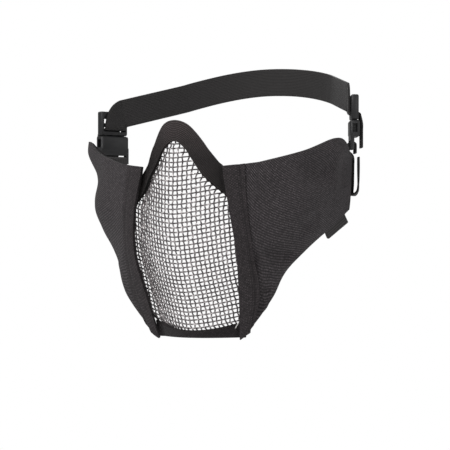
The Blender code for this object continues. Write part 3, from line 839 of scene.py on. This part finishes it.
PANEL_CLOTH = cloth_finish("charcoal_nylon", (0.053, 0.046, 0.049), 1000.0, fleck=0.35, one_way_light=0.55)
HEM_CLOTH = cloth_finish("hem_nylon", (0.036, 0.030, 0.032), 1100.0, fleck=0.35)
# A dark cloth for the pads' rims: painted shade along the wings' edges
EDGE_SHADE_CLOTH = cloth_finish("edge_shade", (0.020, 0.017, 0.018), 1500.0, fleck=0.5)
LINING_CLOTH = cloth_finish("lining_knit", (0.034, 0.031, 0.032), 1500.0, fleck=0.2)
STRIP_CLOTH = cloth_finish("strip_nylon", (0.018, 0.014, 0.015), 1200.0, fleck=0.4)
BAND_TAPE = tape_finish(
    "band_tape",
    (0.037, 0.030, 0.030),
    ribs=BAND_RIBS / BAND_WIDTH,
    picks=1500.0,
    depth=0.0006,
    groove=0,
    crown_light=2.0,
    lit_above=PAINTED_LIGHT_TOP,
)
WEBBING = tape_finish("webbing", (0.050, 0.047, 0.047), ribs=620.0, picks=900.0)
ELASTIC = tape_finish("elastic", (0.030, 0.028, 0.028), ribs=900.0, picks=1600.0, roughness=0.75)
THREAD = speckled_finish("thread", (0.026, 0.022, 0.023), 0.6)
WIRE = wire_finish()
BARE_WIRE = speckled_finish("bare_wire", (0.74, 0.72, 0.70), 0.25, metallic=0.9)
PLASTIC = plastic_finish()


# Making pieces


def put_on(piece, slot_name, *replaced):
    """Fixes a piece to the mask and hides the plain solids it stands for."""
    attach(piece, "root")
    if replaced:
        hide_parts(*replaced)
    return piece


def piece_from(name, bm, material):
    mesh = bpy.data.meshes.new(name)
    bm.to_mesh(mesh)
    bm.free()
    mesh.materials.append(material)
    mesh.shade_smooth()
    return placed(name, mesh)


def sheet_grid(place, columns, rows, length, width, flip=False):
    """A grid moved onto place(along, up), with its cloth map in metres."""
    bm = bmesh.new()
    bmesh.ops.create_grid(bm, x_segments=columns, y_segments=rows, size=0.5)
    cloth = bm.loops.layers.uv.new("cloth")
    for face in bm.faces:
        for loop in face.loops:
            flat = loop.vert.co
            loop[cloth].uv = ((flat.x + 0.5) * length, (flat.y + 0.5) * width)
    for vertex in bm.verts:
        vertex.co = place(vertex.co.x + 0.5, vertex.co.y + 0.5)
    if flip:
        bmesh.ops.reverse_faces(bm, faces=bm.faces)
    return bm


def give_wall(piece, thickness, offset=-1.0, even=False):
    """A wall on the inner side of a sheet, or on both sides with an offset of 0."""
    wall = piece.modifiers.new("wall", "SOLIDIFY")
    wall.thickness = thickness
    wall.offset = offset
    wall.use_even_offset = even
    return wall


def round_edge(piece, width, segments=2):
    edge = piece.modifiers.new("edge", "BEVEL")
    edge.width = width
    edge.segments = segments
    edge.limit_method = "ANGLE"
    edge.angle_limit = math.radians(50)
    return edge


def walled_sheet(name, bm, material, thickness, edge_share, segments=2, offset=-1.0, even=False):
    """A sheet as a piece with a wall and rounded edges."""
    piece = piece_from(name, bm, material)
    give_wall(piece, thickness, offset, even)
    round_edge(piece, thickness * edge_share, segments)
    return piece


# Woven wire muzzle


def mesh_edge_out(down):
    """How far out the woven wire reaches, under the cloth."""
    rows = [(MESH_TOP_SHARE, MESH_TOP_HALF_WIDTH)]
    rows += [(row[0], cheek_front_out(row[0]) + row[1] * TUCK) for row in MESH_EDGE]
    for (above, start), (below, end) in zip(rows, rows[1:]):
        if down <= below:
            return between(start, end, (down - above) / (below - above))
    return rows[-1][1]


def a_pitch_apart(point_at, start, end, step):
    """Values from start on, of a curve's own measure, whose points lie a wire's pitch apart along the curve."""
    values, travelled, at = [start], 0.0, start
    place = point_at(at)
    while at < end:
        following = point_at(at + step)
        stretch = (following - place).length
        travelled += stretch
        if travelled >= WIRE_PITCH:
            travelled -= WIRE_PITCH
            values.append(at + step * (1 - travelled / stretch))
        at += step
        place = following
    return values


def ridge_downs():
    """Where each level wire crosses the middle line."""
    end = MESH_EDGE[-1][0] + ROW_RISE / MASK_HEIGHT
    return a_pitch_apart(lambda down: front_skin(0, down), MESH_TOP_SHARE, end, LEVEL_STEP_SHARE)


@functools.lru_cache(maxsize=None)
def upright_outs(down):
    """How far out each upright wire lies at a height."""
    end = mesh_edge_out(down) + WIRE_PITCH
    return a_pitch_apart(lambda out: front_skin(out, down), 0.0, end, UPRIGHT_STEP)


def at_share(values, k):
    """A value at a whole or part step along a list, going on past its end."""
    low = min(int(math.floor(k)), len(values) - 2)
    return between(values[low], values[low + 1], k - low)


def wire_out(upright, level, downs):
    low = min(int(math.floor(level)), len(downs) - 2)
    above, below = upright_outs(downs[low]), upright_outs(downs[low + 1])
    return between(at_share(above, abs(upright)), at_share(below, abs(upright)), level - low)


def wire_spot(upright, level, downs):
    """Out and down of a place on the woven wire, counted in wires. The level wires rise towards the cheeks."""
    out = wire_out(upright, level, downs)
    rise = ROW_RISE * (out / cheek_front_out(WIDEST_DOWN)) ** ROW_RISE_POWER
    return math.copysign(out, upright), at_share(downs, level) - rise / MASK_HEIGHT


def wire_point(upright, level, downs, proud):
    out, down = wire_spot(upright, level, downs)
    return front_skin(out, down, wire_depth(out, down) - proud)


def wire_inside(upright, level, downs):
    out, down = wire_spot(upright, level, downs)
    return MESH_TOP_SHARE <= down <= MESH_EDGE[-1][0] and abs(out) <= mesh_edge_out(down)


def add_run(curve, points):
    spline = curve.splines.new("POLY")
    spline.points.add(len(points) - 1)
    for knot, point in zip(spline.points, points):
        knot.co = (*point, 1)


def wire_curve(name, diameter):
    curve = bpy.data.curves.new(name, "CURVE")
    curve.dimensions = "3D"
    curve.bevel_depth = diameter / 2
    curve.bevel_resolution = 1
    curve.use_fill_caps = True
    return curve


def mesh_from_curve(curve, material):
    """A curve's tubes as a mesh piece, with their end caps joined to them."""
    holder = placed(curve.name + "_line", curve)
    bpy.context.view_layer.update()
    graph = bpy.context.evaluated_depsgraph_get()
    tubes = bpy.data.meshes.new_from_object(holder.evaluated_get(graph))
    bpy.data.objects.remove(holder)
    bm = bmesh.new()
    bm.from_mesh(tubes)
    bpy.data.meshes.remove(tubes)
    bmesh.ops.remove_doubles(bm, verts=bm.verts, dist=SAME_PLACE)
    return piece_from(curve.name, bm, material)


def woven_wire():
    """Upright and level wires, each passing over and under the others."""
    downs = ridge_downs()
    most = len(upright_outs(WIDEST_DOWN))
    curve = wire_curve("woven_wire", WIRE_DIAMETER)
    levels = [k / STEPS_PER_CELL for k in range((len(downs) - 1) * STEPS_PER_CELL + 1)]
    uprights = [k / STEPS_PER_CELL for k in range(-most * STEPS_PER_CELL, most * STEPS_PER_CELL + 1)]
    lines = [[(upright, level, 1) for level in levels] for upright in range(-most, most + 1)]
    lines += [[(upright, level, -1) for upright in uprights] for level in range(len(downs))]
    for line in lines:
        run = []
        for upright, level, over in line:
            if wire_inside(upright, level, downs):
                proud = over * math.cos(math.pi * (level + upright)) * WIRE_DIAMETER / 2
                run.append(wire_point(upright, level, downs, proud))
                continue
            if len(run) > STEPS_PER_CELL:
                add_run(curve, run)
            run = []
        if len(run) > STEPS_PER_CELL:
            add_run(curve, run)
    return put_on(mesh_from_curve(curve, WIRE), "mesh_wire", "mesh_panel")


def edge_wire():
    """The thicker wire round the muzzle's edge, hidden under the cloth."""
    curve = wire_curve("muzzle_edge_wire", EDGE_WIRE)
    rows, steps_across = 60, 12
    half = []
    for k in range(rows + 1):
        down = between(MESH_TOP_SHARE, MESH_EDGE[-1][0], k / rows)
        half.append((mesh_edge_out(down) - EDGE_WIRE / 2, down))
    corner_out, bottom = half[-1]
    half += [(between(corner_out, 0, k / steps_across), bottom) for k in range(1, steps_across + 1)]
    line = half + [(-out, down) for out, down in reversed(half[:-1])]
    add_run(curve, [front_skin(out, down, wire_depth(out, down) + EDGE_WIRE / 2) for out, down in line])
    curve.splines[0].use_cyclic_u = True
    return put_on(mesh_from_curve(curve, WIRE), "mesh_wire")


# Cheek panels


@functools.lru_cache(maxsize=None)
def fold_lines():
    """Each narrow fold as its two ends in space, its half width and its depth."""
    lines = []
    for station, down, last_station, last_down, width, depth in CHEEK_FOLDS:
        start, end = cheek_skin(station, down), cheek_skin(last_station, last_down)
        lines.append((start, end, width * PAD_THICKNESS, depth * PAD_THICKNESS))
    return lines


def crease_depth(side, station, down):
    """How far a panel's face is pressed in by its broad dents and its narrow folds."""
    depth = 0.0
    for middle, height, reach, drop, share in CHEEK_CREASES:
        away = math.hypot((station - middle) / reach, (down - height) / drop)
        depth += share * PAD_THICKNESS * (1 - ramp(away))
    point = cheek_skin(station, down)
    for start, end, width, drop in fold_lines():
        run = end - start
        along = min(max((point - start).dot(run) / run.length_squared, 0.0), 1.0)
        beside = point - (start + run * along)
        across = math.copysign(beside.length, beside.z) / width
        furrow = math.exp(-(across**2)) - RIDGE_SHARE * math.exp(-((across + RIDGE_BELOW) ** 2))
        depth += drop * furrow * math.sqrt(math.sin(math.pi * along))
    depth = CREASE_LIMIT * math.tanh(depth / CREASE_LIMIT)
    return depth if side > 0 else depth * RIGHT_CREASES


def hem_end():
    """The station where the hem ends and the pad begins."""
    middle_down = sum(CHEEK_OUTLINE[0][1:]) / 2
    return HEM_WIDTH / (cheek_skin(1, middle_down) - cheek_skin(0, middle_down)).length


HEM_END = hem_end()


def pad_fullness(station, down):
    """0 at a panel's edges and seam, 1 where the pad has its whole thickness."""
    upper, lower = interpolate(CHEEK_OUTLINE, station)
    here = cheek_skin(station, down)
    away = min(
        (down - upper) * MASK_HEIGHT,
        (lower - down) * MASK_HEIGHT,
        (cheek_skin(STATIONS - 1, down) - here).length,
        (cheek_skin(HEM_END, down) - here).length,
    )
    return math.sqrt(ramp(max(away, 0) / PAD_FALL))


def pad_thickness(side, station, down):
    """How thick a pad is: a little less along its edges, and pressed thin where it is dented."""
    full = pad_fullness(station, down)
    pressed = PRESSED_SHARE * max(crease_depth(side, station, down), 0.0) * full
    return between(PAD_EDGE, PAD_THICKNESS, full) - pressed


def pad_point(side, station, down, depth):
    """A point a depth inside a pad's outer face, with the face's dents, folds and soft ripples."""
    full = pad_fullness(station, down)
    point = cheek_skin(station, down)
    other_ripples = Vector((0, side * RIPPLE_SHIFT, 0))
    ripple = RIPPLE_HEIGHT * noise.noise(point * RIPPLES_PER_METRE + other_ripples) * full
    inset = crease_depth(side, station, down) * full + (1 - full) * (PAD_THICKNESS - PAD_EDGE) / 2 - ripple
    return on_side(side, point - cheek_normal(station, down) * (inset + depth))


def pad_ply(side, name, cloth, columns, rows, inset, outer_face, share):
    """One ply of a pad: a sheet set in from the pad's edges, with its outer face and thickness as shares."""
    rear_inset = inset / (cheek_skin(STATIONS - 1, EAR_DOWN) - cheek_skin(STATIONS - 2, EAR_DOWN)).length

    def spot(along, up):
        station = between(HEM_END, STATIONS - 1 - rear_inset, along)
        upper, lower = interpolate(CHEEK_OUTLINE, station)
        return station, between(lower - inset / MASK_HEIGHT, upper + inset / MASK_HEIGHT, up)

    def place(along, up):
        station, down = spot(along, up)
        return pad_point(side, station, down, outer_face * pad_thickness(side, station, down))

    bm = sheet_grid(place, columns, rows, *PAD_CLOTH, flip=side < 0)
    piece = piece_from(name, bm, cloth)
    thickness = piece.vertex_groups.new(name="thickness")
    for vertex in piece.data.vertices:
        along, up = vertex.index % (columns + 1) / columns, vertex.index // (columns + 1) / rows
        above = pad_thickness(side, *spot(along, up)) - PAD_PRESSED
        thickness.add([vertex.index], max(above, 0.0) / (PAD_THICKNESS - PAD_PRESSED), "REPLACE")
    # The pad's rim takes the dark edge cloth, which is painted shade along its edge
    piece.data.materials.append(EDGE_SHADE_CLOTH)
    wall = give_wall(piece, share * PAD_THICKNESS, even=True)
    wall.vertex_group = thickness.name
    wall.thickness_vertex_group = PAD_PRESSED / PAD_THICKNESS
    wall.material_offset_rim = 1
    round_edge(piece, share * PAD_EDGE * 0.42, 3)
    return piece


def cheek_pad(side, label):
    """The padded part of a panel, full in its middle and pressed thin along its edges, with its lining."""
    name = label + "_cheek_pad"
    pad = pad_ply(side, name, PANEL_CLOTH, columns=96, rows=84, inset=0.0, outer_face=0.0, share=OUTER_PLY)
    put_on(pad, "panel_cloth", label + "_cheek_panel")
    face = OUTER_PLY + PLY_SLIT / PAD_THICKNESS
    name = label + "_lining"
    lining = pad_ply(side, name, LINING_CLOTH, 56, 48, inset=LINING_INSET, outer_face=face, share=1 - face)
    put_on(lining, "panel_cloth")


def cheek_hem(side, label):
    """The folded strip of cloth along the panel's front edge, which runs on under the pad."""
    end = HEM_END * (1 + HEM_UNDER_PAD / HEM_WIDTH)

    def place(along, up):
        station = between(0, end, up)
        upper, lower = interpolate(CHEEK_OUTLINE, station)
        down = between(upper, min(lower, HEM_BOTTOM_SHARE), along)
        tucked = ramp((station - HEM_END * HEM_DIPS_FROM) / (HEM_END * HEM_DIP_RUN))
        roll = HEM_ROLL * math.sin(math.pi * min(station / HEM_END, 1.0))
        lip = PAD_THICKNESS * HEM_DIP_SHARE * tucked - roll
        return on_side(side, cheek_skin(station, down) - cheek_normal(station, down) * lip)

    width = HEM_WIDTH + HEM_UNDER_PAD
    bm = sheet_grid(place, columns=90, rows=16, length=HEM_LENGTH, width=width, flip=side > 0)
    hem = walled_sheet(label + "_panel_hem", bm, HEM_CLOTH, HEM_THICKNESS, edge_share=0.45, segments=3)
    return put_on(hem, "panel_cloth")


# Stitching


def add_stitches(curve, line, normals):
    """Stitches a pitch apart along a line of points, each sunk at both ends."""
    travelled = [0.0]
    for before, after in zip(line, line[1:]):
        travelled.append(travelled[-1] + (after - before).length)
    rows = [(t, *point, *normal) for t, point, normal in zip(travelled, line, normals)]
    at = STITCH_PITCH / 2
    while at + STITCH_LENGTH < travelled[-1]:
        run = []
        for share, proud in ((0, -0.8), (0.25, 0.35), (0.75, 0.35), (1, -0.8)):
            values = interpolate(rows, at + STITCH_LENGTH * share)
            run.append(Vector(values[:3]) + Vector(values[3:]).normalized() * proud * STITCH_THICKNESS)
        add_run(curve, run)
        at += STITCH_PITCH


def seam_stitches(side, label):
    """The rows of stitches that hold the hem to the pad and turn the hem's own edge."""
    curve = wire_curve(label + "_panel_stitches", STITCH_THICKNESS)
    curve.bevel_resolution = 0
    steps = 60
    for share in SEAM_ROWS:
        station = HEM_END * share
        upper, lower = interpolate(CHEEK_OUTLINE, station)
        line, normals = [], []
        for k in range(steps + 1):
            down = between(upper + SEAM_INSET_SHARE, lower - SEAM_INSET_SHARE, k / steps)
            normal = cheek_normal(station, down)
            point = cheek_skin(station, down) + normal * HEM_ROLL * math.sin(math.pi * share)
            line.append(on_side(side, point))
            normals.append(on_side(side, normal))
        add_stitches(curve, line, normals)
    return put_on(mesh_from_curve(curve, THREAD), "panel_cloth")


# Nose band and chin strip


def over_the_bridge():
    """The nose band's rows with one from the wearer's right, so that a curve through them crosses over level."""
    along, upper_down, upper_out, lower_down, lower_out = NOSE_BAND[1]
    return ((-along, upper_down, -upper_out, lower_down, -lower_out),) + NOSE_BAND


def nose_band():
    """A ribbed tape bent over the bridge, its two legs running down beside the mesh and under the panels."""
    rows = over_the_bridge()

    def place(along, up):
        signed = 2 * along - 1
        upper_down, upper_out, lower_down, lower_out = interpolate(rows, abs(signed) * rows[-1][0])
        down = between(lower_down, upper_down, up)
        out = between(lower_out, upper_out, up) * HALF_WIDTH
        groove = RIB_HEIGHT * (1 - abs(math.sin(math.pi * BAND_RIBS * up)))
        return front_skin(math.copysign(out, signed), down, CLEARANCE / 2 + groove)

    bm = sheet_grid(place, columns=120, rows=BAND_RIBS * 4, length=BAND_LENGTH, width=BAND_WIDTH)
    band = walled_sheet("nose_tape", bm, BAND_TAPE, BAND_THICKNESS, edge_share=0.3)
    return put_on(band, "band_webbing", "nose_band")


def chin_strip():
    """A folded cloth strip across the chin, over the mesh's lower edge, its ends under the panels."""

    def place(along, up):
        signed = 2 * along - 1
        middle = between(STRIP_BOTTOM_SHARE, STRIP_TOP_SHARE, up)
        out = signed * (cheek_front_out(middle) + STRIP_TUCK)
        down = between(STRIP_BOTTOM_SHARE, strip_upper(out, middle), up)
        return front_skin(out, down, CLEARANCE)

    bm = sheet_grid(place, columns=64, rows=8, length=STRIP_LENGTH, width=STRIP_HEIGHT)
    strip = walled_sheet("chin_fold", bm, STRIP_CLOTH, STRIP_THICKNESS, edge_share=0.4, segments=3, even=True)
    return put_on(strip, "band_webbing", "chin_strip")


def loose_wire():
    """A bright wire end bent out of the mesh, beside the wearer's left end of the chin strip."""
    curve = wire_curve("loose_wire_end", WIRE_DIAMETER)
    points = []
    for out, down, proud in LOOSE_WIRE:
        points.append(front_skin(cheek_front_out(down) * out - RIM_GAP, down, -proud))
    add_run(curve, points)
    return put_on(mesh_from_curve(curve, BARE_WIRE), "mesh_wire")


# Strap and webbing


def in_plan(turn):
    """The outward and the rearward direction of a piece turned inwards in plan, on the wearer's left."""
    turn = math.radians(turn)
    return Vector((math.cos(turn), math.sin(turn), 0)), Vector((-math.sin(turn), math.cos(turn), 0))


def buckle_middle(side):
    """The middle of a buckle, as if on the wearer's left."""
    out, back, up = BUCKLE_PLACES[side]
    return Vector((out * HALF_WIDTH, back * MASK_DEPTH, up * BUCKLE_WIDTH))


def at_buckle(side, outwards, rearwards, up):
    """A place given from the middle of a buckle, as if on the wearer's left."""
    outward, rearward = in_plan(BUCKLE_TURN)
    return buckle_middle(side) + outward * outwards + rearward * rearwards + Vector((0, 0, up))


def arc(middle, radius, start, end):
    """Points (inwards, up) round an arc, between two angles in degrees, with both ends."""
    steps = 3
    angles = [math.radians(between(start, end, k / steps)) for k in range(steps + 1)]
    return [(middle[0] + radius * math.cos(a), middle[1] + radius * math.sin(a)) for a in angles]


def mirrored(stations, side):
    return [(on_side(side, middle), on_side(side, across)) for middle, across in stations]


def ladder_slots():
    """The lower edges of the ladder's two slots."""
    lower = BODY_TOP + CLEARANCE + FRAME_BAR
    return lower, lower + SLOT_HEIGHT + FRAME_BAR


def frame_inward():
    """How far inwards of the buckle's middle plane the webbing frame lies."""
    return (BODY_THICKNESS - FRAME_THICKNESS) / 2 - POCKET_WALL / 2


def finer(stations, steps):
    """Stations on a smooth line through the given ones, with steps between each two."""
    rows = []
    for k, (middle, across) in enumerate(stations):
        rows.append((k, *middle, *across))
    fine = []
    for k in range((len(stations) - 1) * steps + 1):
        x, y, z, a, b, c = interpolate(rows, k / steps)
        fine.append((Vector((x, y, z)), Vector((a, b, c)).normalized()))
    return fine


def tape(name, stations, material, slot_name, node, flip=False):
    """A flat strap through stations, each a middle point and the direction across the strap."""
    fine = finer(stations, STRAP_STEPS)
    last = len(fine) - 1
    length = sum((a[0] - b[0]).length for a, b in zip(fine, fine[1:]))

    def place(along, up):
        middle, across = fine[round(along * last)]
        return middle + across * STRAP_WIDTH * (up - 0.5)

    bm = sheet_grid(place, columns=last, rows=8, length=length, width=STRAP_WIDTH, flip=flip)
    strap = walled_sheet(name, bm, material, STRAP_THICKNESS, edge_share=0.35, offset=0.0)
    return put_on(strap, slot_name, node)


def rear_web(side, label):
    """Webbing behind a wing: round the buckle's bar, down inside the wing and folded back up outside it."""
    bar_top = BODY_BOTTOM + FRAME_BAR
    corner = SLOT_HEIGHT / 2
    aside = FRAME_THICKNESS / 2 + STRAP_CLEARANCE + STRAP_THICKNESS / 2
    inner, outer = frame_inward() + aside, frame_inward() - aside
    path = [(outer, BODY_BOTTOM - FRAME_BAR), (outer, BODY_BOTTOM)]
    path += arc((outer + corner, bar_top), corner, 180, 90)
    path += arc((inner - corner, bar_top), corner, 90, 0)
    path.append((inner, BODY_BOTTOM))
    _, across = in_plan(BUCKLE_TURN)
    stations = [(at_buckle(side, -inward, 0, up), across) for inward, up in path]
    for outwards, rearwards, up, turn in REAR_WEBS[side]:
        place = at_buckle(side, outwards * STRAP_WIDTH, rearwards * STRAP_WIDTH, 0)
        place.z = up * STRAP_WIDTH
        stations.append((place, in_plan(turn)[1]))
    name, node = label + "_buckle_web", label + "_rear_web"
    return tape(name, mirrored(stations, side), WEBBING, "band_webbing", node, flip=side < 0)


def strap_through_ladder(side):
    """The strap's loose end, and on through the ladder's lower slot to its inner side."""
    corner = SLOT_HEIGHT / 2
    low, _ = ladder_slots()
    beside = PRONG_THICKNESS / 2 + STRAP_CLEARANCE + STRAP_THICKNESS / 2
    off = beside + TAIL_STANDS_OFF
    path = [(-off, low - TAIL_LENGTH * share) for share in (1.0, 0.5, 0.25)]
    path += arc((corner - beside, low), corner, 180, 90)
    path += arc((beside - corner, low + SLOT_HEIGHT), corner, -90, 0)
    _, across = in_plan(BUCKLE_TURN)
    return [(at_buckle(side, -inward, 0, up), across) for inward, up in path]


def on_the_loop(angle, height):
    """A place on the ellipse that the strap follows, at an angle in radians from its widest place."""
    out = LOOP_HALF_BREADTH * math.cos(angle)
    return Vector((out, LOOP_CENTRE_BACK + LOOP_HALF_LENGTH * math.sin(angle), height))


def strap_edgewise_bend(start, final_turn):
    """The strap turning edgewise from upright towards level, and inwards to its final turn in plan."""
    steps = 8
    level = math.radians(STRAP_LEVEL)
    up = Vector((0, 0, 1))

    def heading(share):
        # The turn in plan comes late, so that the strap clears the ladder
        _, rearward = in_plan(between(BUCKLE_TURN, final_turn, share**3))
        return level * share, rearward

    stations, place = [], start
    for k in range(steps):
        angle, rearward = heading((k + 0.5) / steps)
        travel = rearward * math.sin(angle) + up * math.cos(angle)
        place = place + travel * (STRAP_BEND_RADIUS * level / steps)
        angle, rearward = heading((k + 1) / steps)
        stations.append((place, rearward * math.cos(angle) - up * math.sin(angle)))
    return stations


def head_strap_half(side):
    """Stations of one half of the strap, from the loose end to the middle of the back."""
    stations = strap_through_ladder(side)
    start = stations[-1][0]
    joins = math.radians(STRAP_JOINS_LOOP)
    run = on_the_loop(joins, 0) - start
    stations += strap_edgewise_bend(start, math.degrees(math.atan2(-run.x, run.y)))
    leaves = stations[-1][0]
    side_height = between(leaves.z, STRAP_BACK_HEIGHT, STRAP_RISE_SHARE)
    meets = on_the_loop(joins, side_height)
    course = [leaves, between(leaves, meets, 0.5)]
    steps = 10
    for k in range(steps + 1):
        height = between(side_height, STRAP_BACK_HEIGHT, math.sin(math.pi / 2 * k / steps))
        course.append(on_the_loop(between(joins, math.pi / 2, k / steps), height))
    beyond = course[-2].copy()
    beyond.x = -beyond.x
    course.append(beyond)
    for before, middle, after in zip(course, course[1:], course[2:]):
        run = (after - before).normalized()
        outward = Vector((run.y, -run.x, 0)).normalized()
        stations.append((middle, run.cross(outward)))
    return stations


def head_strap():
    """One strap round the back, through the ladder of each buckle, with a loose end outside each."""
    left = head_strap_half(1)
    right = mirrored(head_strap_half(-1)[:-1], -1)
    return tape("elastic_strap", left + right[::-1], ELASTIC, "strap_elastic", "head_strap")


def buckle_half(node, name):
    """One half of a buckle, with the rounded edges of a moulding."""
    bm = bmesh.new()
    bm.from_mesh(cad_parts[node].data)
    bmesh.ops.remove_doubles(bm, verts=bm.verts, dist=SAME_PLACE)
    bmesh.ops.dissolve_limit(bm, angle_limit=math.radians(2), verts=bm.verts, edges=bm.edges)
    piece = piece_from(name, bm, PLASTIC)
    round_edge(piece, MOULDED_EDGE).harden_normals = True
    return put_on(piece, "buckle_plastic", node)


def lower_tab(side, label):
    """A folded webbing tab under a wing's lower rear edge, lying against its inner face."""
    first, last = TAB_STATIONS
    length = TAB_HELD + TAB_OUT
    depth = PAD_THICKNESS + TAB_CLEARANCE + TAB_THICKNESS / 2

    def under_wing(along, above):
        station = between(first, last, along)
        down = interpolate(CHEEK_OUTLINE, station)[1] - above / MASK_HEIGHT
        return cheek_skin(station, down) - cheek_normal(station, down) * depth

    edge = (under_wing(1, 0) - under_wing(0, 0)).normalized()
    flare = cheek_normal((first + last) / 2, interpolate(CHEEK_OUTLINE, last)[1]) * TAB_FLARE_SHARE

    def place(along, up):
        above = up * length - TAB_OUT
        if above < 0:
            leaves = under_wing(along, 0)
            outwards = (leaves - under_wing(along, TAB_HELD)).normalized()
            point = leaves + (outwards + edge * TAB_SKEW_SHARE + flare) * -above
        else:
            point = under_wing(along, above)
        return on_side(side, point)

    bm = sheet_grid(place, columns=16, rows=14, length=STRAP_WIDTH, width=length, flip=side < 0)
    tab = walled_sheet(label + "_tab", bm, WEBBING, TAB_THICKNESS, edge_share=0.3, segments=3, offset=0.0)
    return put_on(tab, "band_webbing", label + "_lower_tab")


studio()
woven_wire()
edge_wire()
nose_band()
chin_strip()
loose_wire()
head_strap()
for side, label in ((1, "left"), (-1, "right")):
    cheek_pad(side, label)
    cheek_hem(side, label)
    seam_stitches(side, label)
    lower_tab(side, label)
    rear_web(side, label)
    buckle_half(label + "_buckle_body", label + "_buckle_socket")
    buckle_half(label + "_buckle_prong", label + "_buckle_ladder")
